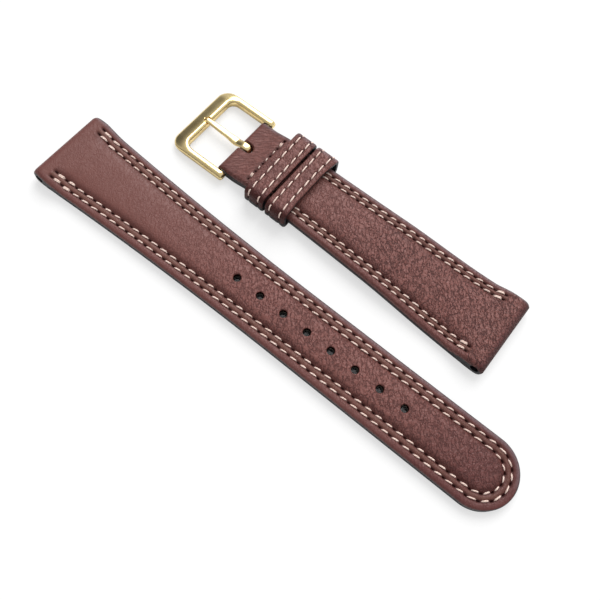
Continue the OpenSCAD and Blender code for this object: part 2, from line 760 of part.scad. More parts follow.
module tongue_side() {
    rest = frame_thickness / 2 - notch_depth + seat;
    sides = [for (i = [0 : 14]) let (s = tongue_reach * i / 14, risen = ease(s / rise_end),
            low = (shank_top - tongue_thickness) * (1 - risen) + rest * risen,
            thick = tongue_thickness * (1 - (1 - tip_share) * ease(s / tongue_reach)))
        [s, low, low + thick + (tongue_ring - shank_top) * (1 - ease(s / ring_run))]];
    difference() {
        union() {
            circle(r = tongue_ring, $fn = 48);
            polygon(concat([for (p = sides) [-p[0], p[2]]], [for (p = reversed(sides)) [-p[0], p[1]]]));
        }
        circle(r = bar_radius + running_clearance, $fn = 48);
    }
}

// The tongue from above: as wide as its ring, then tapered to its shank with a round tip
module tongue_plan() {
    half = tongue_width / 2;
    translate([-tongue_reach + half, 0]) circle(r = half, $fn = 36);
    polygon([[-tongue_reach + half, -half], [-ring_taper[1], -half],
        [-ring_taper[0], -ring_width / 2], [tongue_ring, -ring_width / 2],
        [tongue_ring, ring_width / 2], [-ring_taper[0], ring_width / 2],
        [-ring_taper[1], half], [-tongue_reach + half, half]]);
}

module buckle_tongue() {
    color(gold) on_bar() intersection() {
        rotate([90, 0, 0]) translate([0, 0, -ring_width / 2])
            linear_extrude(ring_width) tongue_side();
        translate([0, 0, -2 * tongue_ring]) linear_extrude(4 * tongue_ring) tongue_plan();
    }
}

// The spring bar: a tube with closed ends, two shouldered tips and a spring between them
bar_half = buckle_half - 0.05;
tube_wall = 0.2;
shoulder_radius = bar_radius - tube_wall - running_clearance;
shoulder_length = 1;
// The shoulder starts inside the tube's closed end and the tip can be pressed in by tip_travel
tip_travel = tip_depth + arm_clearance / 2;
shoulder_end = bar_half - tube_wall - seat;

module turned_on_bar(outline_points) {
    translate([short_x + bar_x, short_y, bar_z]) rotate([-90, 0, 0])
        rotate_extrude($fn = 48) polygon(outline_points);
}

module bar_tube() {
    bore = bar_radius - tube_wall;
    mouth = tip_radius + running_clearance;
    color(steel) turned_on_bar([
        [mouth, -bar_half], [bar_radius, -bar_half], [bar_radius, bar_half], [mouth, bar_half],
        [mouth, bar_half - tube_wall], [bore, bar_half - tube_wall],
        [bore, -bar_half + tube_wall], [mouth, -bar_half + tube_wall]]);
}

module bar_tip(side) {
    color(steel) turned_on_bar([
        [0, side * (shoulder_end - shoulder_length)],
        [shoulder_radius, side * (shoulder_end - shoulder_length)],
        [shoulder_radius, side * shoulder_end], [tip_radius, side * shoulder_end],
        [tip_radius, side * (tip_end - 0.1)], [tip_radius - 0.1, side * tip_end], [0, side * tip_end]]);
}

module bar_tip_near() {
    bar_tip(-1);
}

module bar_tip_far() {
    bar_tip(1);
}

// The spring: one round wire wound evenly between the two shoulders
module bar_spring() {
    wire = 0.1;
    sides = 6;
    per_turn = 8;
    radius = shoulder_radius - wire - seat;
    half = shoulder_end - shoulder_length - wire - seat;
    count = spring_turns * per_turn;
    color(steel) translate([short_x + bar_x, short_y, bar_z]) skin([
        for (i = [0 : count]) let (a = 360 * i / per_turn, y = -half + 2 * half * i / count)
            [for (j = [0 : sides - 1]) let (b = 360 * j / sides, r = radius + wire * cos(b))
                [r * cos(a), y + wire * sin(b), -r * sin(a)]]]);
}

long_cover();
long_pad();
long_lining();
long_outer_thread();
long_inner_thread();
short_cover();
short_pad();
short_lining();
short_outer_thread();
short_inner_thread();
fold_thread();
fixed_keeper();
fixed_keeper_lining();
fixed_keeper_thread();
free_keeper();
free_keeper_lining();
free_keeper_thread();
buckle_frame();
buckle_tongue();
bar_tube();
bar_tip_near();
bar_tip_far();
bar_spring();
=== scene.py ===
"""The looks of a two-piece stitched leather watch strap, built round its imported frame.

Sizes are in millimetres, in the frame's own axes: lengths run along X, widths along Y. A piece of
the strap is worked out in its own frame, where u is the distance from its end at small X and v is
the distance from its middle line, and is then set in its place. Meshes are stored in metres.
"""

import json
import logging
import math
from abc import ABC, abstractmethod
from dataclasses import dataclass, field
from enum import Enum
from functools import reduce
from typing import Callable, Sequence, Union

import bmesh
import bpy
import numpy as np
from mathutils import Matrix, Vector

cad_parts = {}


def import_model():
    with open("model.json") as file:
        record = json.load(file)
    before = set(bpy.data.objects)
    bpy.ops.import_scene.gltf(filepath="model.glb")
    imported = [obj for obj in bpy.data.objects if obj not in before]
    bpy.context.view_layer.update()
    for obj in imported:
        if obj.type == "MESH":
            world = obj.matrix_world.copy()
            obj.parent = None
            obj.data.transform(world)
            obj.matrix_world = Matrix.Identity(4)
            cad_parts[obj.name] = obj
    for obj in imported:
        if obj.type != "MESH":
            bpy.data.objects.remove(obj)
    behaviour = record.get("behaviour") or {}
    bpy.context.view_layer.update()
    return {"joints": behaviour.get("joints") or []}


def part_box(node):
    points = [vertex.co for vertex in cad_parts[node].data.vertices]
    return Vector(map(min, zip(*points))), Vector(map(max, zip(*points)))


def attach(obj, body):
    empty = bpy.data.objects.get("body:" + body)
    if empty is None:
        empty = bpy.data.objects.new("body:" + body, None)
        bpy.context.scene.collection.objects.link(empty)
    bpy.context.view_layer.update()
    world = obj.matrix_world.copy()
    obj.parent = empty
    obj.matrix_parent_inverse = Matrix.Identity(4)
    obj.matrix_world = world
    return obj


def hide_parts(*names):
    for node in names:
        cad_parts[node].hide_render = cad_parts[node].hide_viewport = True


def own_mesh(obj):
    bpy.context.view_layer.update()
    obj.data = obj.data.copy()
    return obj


LOG = logging.getLogger("strap")
MM = 0.001
# Points closer than this, in metres, are one point
MERGE = 2e-6
# Radius, in mm, at which a turned profile is closed on its axis
AXIS = 0.0001
# Gap, in mm, that keeps apart what lies on each other, and between the stations of a step
SEAT = 0.02
# Places of a round end's cross-sections, as shares of its radius
ROUND_END = 1 - np.cos(np.radians([1, 6, 13, 22, 33, 45, 57, 69, 80, 90]))
UP, DOWN = (0, 0, 1), (0, 0, -1)
WHITE = (1, 1, 1, 1)

Array = np.ndarray
# Gives half a cross-section at stations: distances from the middle line, and heights
HalfRing = Callable[[Array], tuple[Array, Array]]


class Slot(str, Enum):
    """The record's material slots."""

    COVER = "cover_leather"
    LINING = "lining_leather"
    PADDING = "padding"
    THREAD = "thread"
    GOLD = "gold"
    STEEL = "steel"


# Shapes as arrays


def ease(t: Array) -> Array:
    """A smooth step from 0 to 1: t squared times (3 - 2 t), with t held between 0 and 1."""
    t = np.clip(t, 0, 1)
    return t * t * (3 - 2 * t)


def bell(t: Array) -> Array:
    """A smooth bump of height 1 that has ended at t = -1 and t = 1: (1 - t squared) squared."""
    return np.clip(1 - t * t, 0, 1) ** 2


def bulge(d: Array, radius: float) -> Array:
    """Half height of a round end at distance d from it, as a share of its radius."""
    return np.sqrt(np.clip(1 - np.clip(1 - d / radius, 0, 1) ** 2, 0, 1))


def stacked(*parts: Array | float) -> Array:
    """Coordinates set side by side in a last axis, each spread over the common shape."""
    return np.stack(np.broadcast_arrays(*parts), -1)


def waves(x: Array, y: Array, size: float, seed: int, count: int = 14) -> Array:
    """Gentle unevenness of about unit height: the mean of sine waves in random directions.

    Args:
        x: Places along the strap, in mm.
        y: Places across the strap, in mm.
        size: The mean wavelength, in mm.
        seed: Seed of the random directions.
        count: Number of waves.

    Returns:
        The heights, in the shape of x.
    """
    draw = np.random.default_rng(seed)
    turn, phase = draw.uniform(0, 2 * np.pi, (2, count))
    rate = 2 * np.pi / (size * draw.uniform(0.6, 1.7, count))
    return sum(np.sin(x * r * np.cos(a) + y * r * np.sin(a) + p)
               for a, p, r in zip(turn, phase, rate)) / math.sqrt(count)


def needle(along: Array, pitch: float = 1.0) -> Array:
    """1 at each needle hole and -1 halfway between two, at a distance along a row."""
    return np.cos(2 * np.pi * along / pitch)


@dataclass
class Mesh:
    """A growing mesh: points in mm, four-sided faces, and faces with any number of corners."""

    points: list[Array] = field(default_factory=list)
    quads: list[Array] = field(default_factory=list)
    polygons: list[Array] = field(default_factory=list)
    count: int = 0

    def grid(self, points: Array, wrap: bool = False, caps: bool = False) -> None:
        """Adds a grid of points, row by row.

        Args:
            points: Array of rows by columns by 3.
            wrap: Whether the last column joins the first.
            caps: Whether the first and the last row are closed with a face.
        """
        rows, columns = points.shape[:2]
        at = np.arange(rows * columns).reshape(rows, columns) + self.count
        along = np.roll(at, -1, 1) if wrap else at[:, 1:]
        here = at if wrap else at[:, :-1]
        self.quads.append(np.stack([here[:-1], along[:-1], along[1:], here[1:]], -1).reshape(-1, 4))
        if caps:
            self.polygons += [at[0, ::-1], at[-1]]
        self.points.append(points.reshape(-1, 3))
        self.count += rows * columns

    def build(self, name: str, offset: Sequence[float] = (0, 0, 0)) -> bpy.types.Mesh:
        """Makes the Blender mesh, with doubles merged and faces outwards.

        Args:
            name: Name of the mesh.
            offset: Where the points' own origin lies in the frame, in mm.

        Returns:
            The mesh, in metres.
        """
        mesh = bpy.data.meshes.new(name)
        points = (np.concatenate(self.points) + np.asarray(offset, float)) * MM
        quads = np.concatenate(self.quads) if self.quads else np.zeros((0, 4), int)
        corners = np.concatenate([quads.ravel(), *self.polygons]).astype(np.int32)
        sizes = np.array([4] * len(quads) + [len(p) for p in self.polygons])
        mesh.vertices.add(len(points))
        mesh.vertices.foreach_set("co", points.ravel())
        mesh.loops.add(len(corners))
        mesh.loops.foreach_set("vertex_index", corners)
        mesh.polygons.add(len(sizes))
        mesh.polygons.foreach_set("loop_start", np.concatenate([[0], np.cumsum(sizes)[:-1]]))
        mesh.update(calc_edges=True)
        mesh.validate()
        shape = bmesh.new()
        shape.from_mesh(mesh)
        bmesh.ops.remove_doubles(shape, verts=shape.verts, dist=MERGE)
        bmesh.ops.dissolve_degenerate(shape, edges=shape.edges, dist=MERGE)
        bmesh.ops.recalc_face_normals(shape, faces=shape.faces)
        shape.to_mesh(mesh)
        shape.free()
        return mesh


def closed_mesh(name: str, points: Array, offset: Sequence[float] = (0, 0, 0),
                caps: bool = True) -> bpy.types.Mesh:
    """A mesh of one grid of points whose last column joins the first.

    Args:
        name: Name of the mesh.
        points: Array of rows by columns by 3, in mm.
        offset: Where the points' own origin lies in the frame, in mm.
        caps: Whether the first and the last row are closed with a face.

    Returns:
        The mesh, in metres.
    """
    shape = Mesh()
    shape.grid(points, wrap=True, caps=caps)
    return shape.build(name, offset)


def lathe(profile: Sequence[tuple[float, float]], sides: int = 48) -> Array:
    """A profile of (radius, height) turned round Z: rows of sides by 3."""
    r, z = np.array(profile, float).T
    a = np.linspace(0, 2 * np.pi, sides, endpoint=False)
    return stacked(r[:, None] * np.cos(a), r[:, None] * np.sin(a), z[:, None])


def across_y(points: Array) -> Array:
    """Turns what stands along Z so that it lies along Y."""
    return stacked(points[..., 0], points[..., 2], -points[..., 1])


def coordinates(mesh: bpy.types.Mesh) -> Array:
    """A mesh's points in mm."""
    co = np.empty(len(mesh.vertices) * 3)
    mesh.vertices.foreach_get("co", co)
    return co.reshape(-1, 3) / MM


def paint(mesh: bpy.types.Mesh, **values: Array) -> None:
    """Stores one number per point under each name, for the materials to read."""
    for name, value in values.items():
        layer = mesh.attributes.new(name, "FLOAT", "POINT")
        layer.data.foreach_set("value", np.ascontiguousarray(value, np.float32))


def smooth(mesh: bpy.types.Mesh, angle: float = 40) -> None:
    """Shades the mesh smooth, and leaves edges sharper than an angle in degrees as they are."""
    mesh.shade_smooth()
    mesh.set_sharp_from_angle(angle=math.radians(angle))


def add_object(name: str, data: bpy.types.ID) -> bpy.types.Object:
    """Puts a new object into the scene."""
    thing = bpy.data.objects.new(name, data)
    bpy.context.scene.collection.objects.link(thing)
    return thing


def cut(mesh: bpy.types.Mesh, cutters: Sequence[bpy.types.Mesh]) -> bpy.types.Mesh:
    """Cuts closed shapes out of a closed mesh.

    Args:
        mesh: What is cut.
        cutters: The shapes that are taken away.

    Returns:
        The cut mesh.
    """
    body = add_object("cut_body", mesh)
    tools = [add_object("cutter", shape) for shape in cutters]
    for tool in tools:
        step = body.modifiers.new("cut", "BOOLEAN")
        step.operation, step.solver, step.object = "DIFFERENCE", "MANIFOLD", tool
    bpy.context.view_layer.update()
    seen = body.evaluated_get(bpy.context.evaluated_depsgraph_get())
    done = bpy.data.meshes.new_from_object(seen)
    for thing in [body, *tools]:
        bpy.data.objects.remove(thing)
    return done


def set_piece(name: str, mesh: bpy.types.Mesh, body: str, slot: Slot,
              looks: "Looks", node: str) -> bpy.types.Object:
    """Puts a finished mesh into the scene as a piece of the strap.

    Args:
        name: The piece's name.
        mesh: Its mesh, in place.
        body: The body that it moves with.
        slot: The record's slot that it takes its finish from.
        looks: The material of each slot.
        node: The CAD node that it stands for.

    Returns:
        The piece's object.
    """
    piece = add_object(name, mesh)
    mesh.materials.clear()
    mesh.materials.append(looks[slot])
    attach(piece, body)
    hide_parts(node)
    LOG.info("%s: %d faces on %s", name, len(mesh.polygons), body)
    return piece


# Finishes

Socket = bpy.types.NodeSocket
# What goes into a socket: another socket to link, or a value
Feed = Union[Socket, float, Sequence[float]]
Looks = dict[Slot, bpy.types.Material]
Colour = tuple[float, float, float, float]


class Nodes:
    """A node tree, with short calls to add its nodes and join them."""

    def __init__(self, tree: bpy.types.NodeTree) -> None:
        """Empties the tree."""
        self.tree = tree
        tree.nodes.clear()

    def feed(self, socket: Socket, value: Feed) -> None:
        """Links a socket, or sets its value."""
        if isinstance(value, Socket):
            self.tree.links.new(value, socket)
        else:
            socket.default_value = value

    def add(self, kind: str, inputs: dict | None = None, **settings) -> bpy.types.Node:
        """Adds a node.

        Args:
            kind: The node's type.
            inputs: What goes into its sockets, by name or place.
            settings: The node's own settings.

        Returns:
            The node.
        """
        node = self.tree.nodes.new(kind)
        for key, value in settings.items():
            setattr(node, key, value)
        for key, value in (inputs or {}).items():
            self.feed(node.inputs[key], value)
        return node

    def vector(self, operation: str, a: Feed, b: Feed, result: str = "Vector") -> Socket:
        """A sum on two vectors."""
        return self.add("ShaderNodeVectorMath", {0: a, 1: b}, operation=operation).outputs[result]

    def scaled(self, a: Feed, scale: float) -> Socket:
        """A vector times a number."""
        return self.add("ShaderNodeVectorMath", {0: a, "Scale": scale},
                        operation="SCALE").outputs["Vector"]

    def sum(self, operation: str, a: Feed, b: Feed = 0.0) -> Socket:
        """A sum on single numbers."""
        return self.add("ShaderNodeMath", {0: a, 1: b}, operation=operation).outputs[0]

    def plus(self, *terms: Feed) -> Socket:
        """The sum of all terms."""
        return reduce(lambda a, b: self.sum("ADD", a, b), terms)

    def times(self, *factors: Feed) -> Socket:
        """The product of all factors."""
        return reduce(lambda a, b: self.sum("MULTIPLY", a, b), factors)

    def minus(self, a: Feed, b: Feed) -> Socket:
        """The first number less the second."""
        return self.sum("SUBTRACT", a, b)

    def apart(self, a: Feed, b: Feed) -> Socket:
        """How far two numbers are apart."""
        return self.sum("ABSOLUTE", self.minus(a, b))

    def ramp(self, value: Feed, low: float, high: float, to_low: float = 0.0,
             to_high: float = 1.0, kind: str = "SMOOTHSTEP") -> Socket:
        """A value mapped from one range to another, and held at its ends."""
        return self.add("ShaderNodeMapRange", {"Value": value, "From Min": low, "From Max": high,
                                               "To Min": to_low, "To Max": to_high},
                        interpolation_type=kind).outputs[0]


class Graph(Nodes):
    """A material's nodes: its shader, and patterns whose sizes are in mm."""

    def __init__(self, name: str) -> None:
        """Starts an empty material with a Principled shader and its output."""
        self.material = bpy.data.materials.new(name)
        self.material.use_nodes = True
        super().__init__(self.material.node_tree)
        self.shader = self.add("ShaderNodeBsdfPrincipled")
        self.output = self.add("ShaderNodeOutputMaterial", {"Surface": self.shader.outputs[0]})
        place = self.add("ShaderNodeTexCoord")
        self.place = self.scaled(place.outputs["Object"], 1 / MM)

    def blend(self, share: Feed, a: Feed, b: Feed) -> Socket:
        """Two colours mixed, with a share of the second."""
        return self.add("ShaderNodeMix", {0: share, 6: a, 7: b}, data_type="RGBA").outputs[2]

    def noise(self, size: float, detail: float = 4, rough: float = 0.55,
              stretch: tuple[float, float, float] = (1, 1, 1), turn: float = 0.0) -> Socket:
        """Cloudy noise.

        Args:
            size: The size of its features.
            detail: Its detail.
            rough: Its roughness.
            stretch: Factors by which the features are longer along the axes.
            turn: Turn of those axes about Z, in radians.

        Returns:
            The noise's socket, about 0.5 in the mean.
        """
        place = self.place
        if turn:
            place = self.add("ShaderNodeMapping", {"Vector": place, "Rotation": (0, 0, -turn)},
                             vector_type="POINT").outputs[0]
        at = self.vector("MULTIPLY", place, tuple(1 / (size * s) for s in stretch))
        return self.add("ShaderNodeTexNoise", {"Vector": at, "Scale": 1.0, "Detail": detail,
                                               "Roughness": rough}).outputs["Fac"]

    def cells(self, size: float, warp: float, rate: float, measured: str, **inputs) -> Socket:
        """Islands with uneven outlines.

        Args:
            size: The islands' size.
            warp: How far noise pushes them about, as a share of their size.
            rate: How fast that noise changes, per size.
            measured: What is measured, as the Voronoi node names it.
            inputs: Further inputs of that node.

        Returns:
            The distance's socket.
        """
        shift = self.add("ShaderNodeTexNoise", {"Vector": self.place, "Scale": rate / size,
                                                "Detail": 2.0}).outputs["Color"]
        shift = self.scaled(self.vector("SUBTRACT", shift, (0.5, 0.5, 0.5)), 2 * warp * size)
        at = self.scaled(self.vector("ADD", self.place, shift), 1 / size)
        return self.add("ShaderNodeTexVoronoi", {"Vector": at, "Scale": 1.0, **inputs},
                        feature=measured).outputs["Distance"]

    def pores(self, size: float) -> Socket:
        """The distance from the middle of the nearest rounded pore."""
        return self.cells(size, 0.35, 0.7, "SMOOTH_F1", Smoothness=0.3)

    def creases(self, size: float, warp: float) -> Socket:
        """The distance from the creases that part smooth islands."""
        return self.cells(size, warp, 0.8, "DISTANCE_TO_EDGE")

    def read(self, name: str) -> Socket:
        """A number that is stored on the mesh."""
        return self.add("ShaderNodeAttribute", attribute_name=name).outputs["Fac"]

    def set(self, **sockets: Feed) -> None:
        """Sets or links the shader's sockets; underscores in a name stand for spaces."""
        for key, value in sockets.items():
            self.feed(self.shader.inputs[key.replace("_", " ")], value)

    def relief(self, height: Feed, depth: float) -> None:
        """Bumps the surface by a height of 0 to 1, over a depth."""
        self.set(Normal=self.add("ShaderNodeBump", {"Height": height, "Distance": depth * MM,
                                                    "Strength": 1.0}).outputs[0])


def colour(red: int, green: int, blue: int) -> Colour:
    """A screen colour from 0 to 255 as the linear colour that a shader takes."""
    return tuple(((c / 255 + 0.055) / 1.055) ** 2.4 if c > 10 else c / 3294.6
                 for c in (red, green, blue)) + (1.0,)


@dataclass(frozen=True)
class LeatherFinish:
    """Smooth reddish-brown cover leather with a fine grain and dark painted edges. Shade is painted
    dark red into its valleys, needle holes and turned-away parts, and a grey sheen onto its far
    margin.
    """

    name: str = "cover_leather"
    tone: Colour = colour(129, 77, 70)
    shade: Colour = colour(108, 62, 55)
    # The valley and pit colours paint shade into the stitch valleys and needle holes
    valley: Colour = colour(58, 15, 10)
    ridge: Colour = colour(98, 65, 48)
    pit: Colour = colour(20, 3, 2)
    edge: Colour = colour(20, 18, 23)
    line: Colour = colour(10, 7, 8)
    # Painted dark red: shade where the leather turns away from the light, and some red tone
    warm: Colour = colour(84, 32, 32)
    # A painted sheen: the grey reflection on the far margin
    sheen_grey: Colour = colour(112, 93, 99)
    depth: float = 0.22
    cloud_size: float = 6.0
    mottle_size: float = 0.7
    pebble_size: float = 0.98
    small_size: float = 0.55
    wrinkle_size: float = 0.78
    wrinkle_turn: float = 2.24
    streak_size: float = 0.34
    fold_turn: float = 0.67
    # Shares of the large pebbles, the small ones and the wrinkles in the grain
    shares: tuple[float, float, float] = (0.32, 0.2, 0.48)
    # How dark the creases are where the leather is smooth, and where it is pebbled
    crease_dark: tuple[float, float] = (0.08, 0.84)
    roughness: tuple[float, float] = (0.62, 0.46)
    shine: tuple[float, float] = (0.45, 0.03)

    def grain(self, g: Graph, streaked: Socket) -> Socket:
        """The grain's height: pebbles parted by creases and short wrinkles, or streaks.

        Args:
            g: The material's nodes.
            streaked: How far the streaks take the place of the rest.

        Returns:
            The height's socket.
        """
        pebbles = g.ramp(g.creases(self.pebble_size, 0.55), 0.0, 0.22)
        small = g.ramp(g.creases(self.small_size, 0.5), 0.0, 0.28)
        wrinkles = g.noise(self.wrinkle_size, 3, stretch=(2.2, 1, 1), turn=self.wrinkle_turn)
        wrinkles = g.ramp(g.apart(wrinkles, 0.5), 0.0, 0.07)
        grain = g.plus(*map(g.times, (pebbles, small, wrinkles), self.shares))
        streaks = g.noise(self.streak_size, 4, 0.6, stretch=(5, 1, 1), turn=self.fold_turn)
        return g.plus(g.times(grain, g.minus(1.0, streaked)),
                      g.times(g.ramp(streaks, 0.3, 0.7), streaked))

    def material(self) -> bpy.types.Material:
        """The leather, which reads its stored edge paint, valleys, ridges, needle holes, pebbles,
        streaks, painted red shade and painted far sheen.
        """
        g = Graph(self.name)
        pebbled, valley, pit = g.read("pebble"), g.read("valley"), g.read("pit")
        clouds, mottle = g.noise(self.cloud_size, 3), g.noise(self.mottle_size)
        grain = self.grain(g, g.read("streak"))
        # The creases are darker, most of all where the leather is pebbled
        crease = g.times(g.ramp(grain, 0.2, 0.85, 1, 0), g.ramp(pebbled, 0, 1, *self.crease_dark))
        # The paint ends in a wavy dark line under the leather's brim
        reach = g.plus(g.read("edge"), g.times(g.minus(mottle, 0.5), 0.3))
        painted = g.ramp(reach, 0.5, 0.72)
        # Where the leather is smooth, most of all towards the long piece's lug end, it is painted
        # darker as shade
        tone = g.blend(g.ramp(pebbled, 0.1, 0.8, 0.8, 0.0), self.tone, self.shade)
        # Painted shade: the dark red where the leather turns away, the valleys' dark and the needle
        # holes' near black. The grey over the far margin is a painted reflection.
        for share, over in (
                (g.times(g.read("warm"), 0.9), self.warm),
                (g.times(g.ramp(clouds, 0.35, 0.7), 0.3), self.shade),
                (g.times(g.ramp(mottle, 0.4, 0.75), 0.35), self.shade),
                (g.times(g.read("between"), g.ramp(mottle, 0.3, 0.7, 0.7, 0.15)), self.ridge),
                (g.times(g.read("faded"), 0.6), self.sheen_grey),
                (crease, self.valley), (g.times(valley, 0.9), self.valley), (pit, self.pit),
                (g.ramp(reach, 0.22, 0.4), self.line), (painted, self.edge)):
            tone = g.blend(share, tone, over)
        rough = g.minus(g.ramp(grain, 0.2, 0.9, *self.roughness), g.times(painted, 0.15))
        # Needle holes and valleys hold no shine
        dull = g.sum("MAXIMUM", pit, g.times(valley, 0.5))
        g.set(Base_Color=tone, Roughness=rough, Specular_IOR_Level=g.ramp(dull, 0, 1, *self.shine))
        height = g.plus(g.times(grain, 0.8), g.times(mottle, 0.2))
        g.relief(g.times(height, g.ramp(pebbled, 0, 1, 0.2, 1), g.ramp(painted, 0, 1, 1, 0.25)),
                 self.depth)
        return g.material


@dataclass(frozen=True)
class LiningFinish:
    """Matt dark lining leather with fine pores."""

    name: str = "lining_leather"
    tone: Colour = colour(58, 44, 42)
    shade: Colour = colour(40, 31, 31)
    edge: Colour = colour(36, 33, 37)
    pore_size: float = 0.3
    mottle_size: float = 0.6
    depth: float = 0.04

    def material(self) -> bpy.types.Material:
        """The lining, which reads edge."""
        g = Graph(self.name)
        mottle = g.noise(self.mottle_size, 5, 0.6)
        tone = g.blend(g.ramp(mottle, 0.35, 0.7), self.tone, self.shade)
        tone = g.blend(g.read("edge"), tone, self.edge)
        g.set(Base_Color=tone, Roughness=g.ramp(mottle, 0.3, 0.7, 0.5, 0.66))
        g.relief(g.plus(g.times(g.pores(self.pore_size), -0.7), g.times(mottle, 0.6)), self.depth)
        return g.material


@dataclass(frozen=True)
class FeltFinish:
    """Pressed wool felt, pale and fibrous."""

    name: str = "padding_felt"
    tone: Colour = colour(206, 198, 180)
    shade: Colour = colour(176, 166, 146)
    stain: Colour = colour(34, 24, 22)
    fibre_size: float = 0.25
    depth: float = 0.12

    def material(self) -> bpy.types.Material:
        """The felt, which reads where the walls of its holes are painted dark as shade."""
        g = Graph(self.name)
        fibres = g.noise(self.fibre_size, 6, 0.7, stretch=(3, 1, 1))
        tone = g.blend(g.ramp(fibres, 0.35, 0.7), self.tone, self.shade)
        # The walls of the holes are painted dark, as shade in them
        g.set(Base_Color=g.blend(g.read("stain"), tone, self.stain), Roughness=0.95,
              Sheen_Weight=0.25)
        g.relief(fibres, self.depth)
        return g.material


@dataclass(frozen=True)
class ThreadFinish:
    """Waxed two-ply thread, cream, with its plies wound round each other."""

    name: str = "waxed_thread"
    tone: Colour = colour(250, 226, 214)
    shade: Colour = colour(204, 160, 140)
    plies: float = 2.0
    plies_per_mm: float = 1.5
    fibre_size: float = 0.12
    dirt_size: float = 5.0
    depth: float = 0.06

    def material(self) -> bpy.types.Material:
        """The thread, which reads reach, in mm along a stitch, and turn, from 0 to 1 round it."""
        g = Graph(self.name)
        wind = g.plus(g.times(g.read("reach"), self.plies_per_mm),
                      g.times(g.read("turn"), self.plies))
        ply = g.sum("ABSOLUTE", g.sum("SINE", g.times(wind, math.pi)))
        dirt = g.ramp(g.noise(self.dirt_size, 2), 0.4, 0.7)
        tone = g.blend(g.ramp(ply, 0.0, 0.5), self.shade, self.tone)
        g.set(Base_Color=g.blend(g.times(dirt, 0.25), tone, self.shade), Roughness=0.55,
              Sheen_Weight=0.15)
        g.relief(g.plus(ply, g.times(g.noise(self.fibre_size, 3), 0.3)), self.depth)
        return g.material


@dataclass(frozen=True)
class MetalFinish:
    """Metal with fine brushing that runs along one axis."""

    name: str
    tone: Colour
    shade: Colour
    roughness: tuple[float, float]
    stretch: tuple[float, float, float]
    brush_size: float = 0.08
    haze_size: float = 2.5
    depth: float = 0.0012

    def material(self) -> bpy.types.Material:
        """The metal."""
        g = Graph(self.name)
        brushing = g.noise(self.brush_size, 4, 0.6, stretch=self.stretch)
        haze = g.noise(self.haze_size, 3)
        uneven = g.plus(g.times(brushing, 0.6), g.times(haze, 0.4))
        g.set(Base_Color=g.blend(g.ramp(haze, 0.25, 0.75), self.shade, self.tone), Metallic=1.0,
              Roughness=g.ramp(uneven, 0.3, 0.7, *self.roughness))
        g.relief(brushing, self.depth)
        return g.material


def make_looks() -> Looks:
    """Makes every finish's material once."""
    gold = MetalFinish("polished_gold", colour(232, 211, 158), colour(224, 200, 144),
                       roughness=(0.13, 0.2), stretch=(1, 6, 1))
    steel = MetalFinish("satin_steel", colour(196, 196, 198), colour(170, 171, 174),
                        roughness=(0.22, 0.34), stretch=(1, 5, 1))
    finishes = {Slot.COVER: LeatherFinish(), Slot.LINING: LiningFinish(),
                Slot.PADDING: FeltFinish(), Slot.THREAD: ThreadFinish(),
                Slot.GOLD: gold, Slot.STEEL: steel}
    return {slot: finish.material() for slot, finish in finishes.items()}


# The two leather pieces


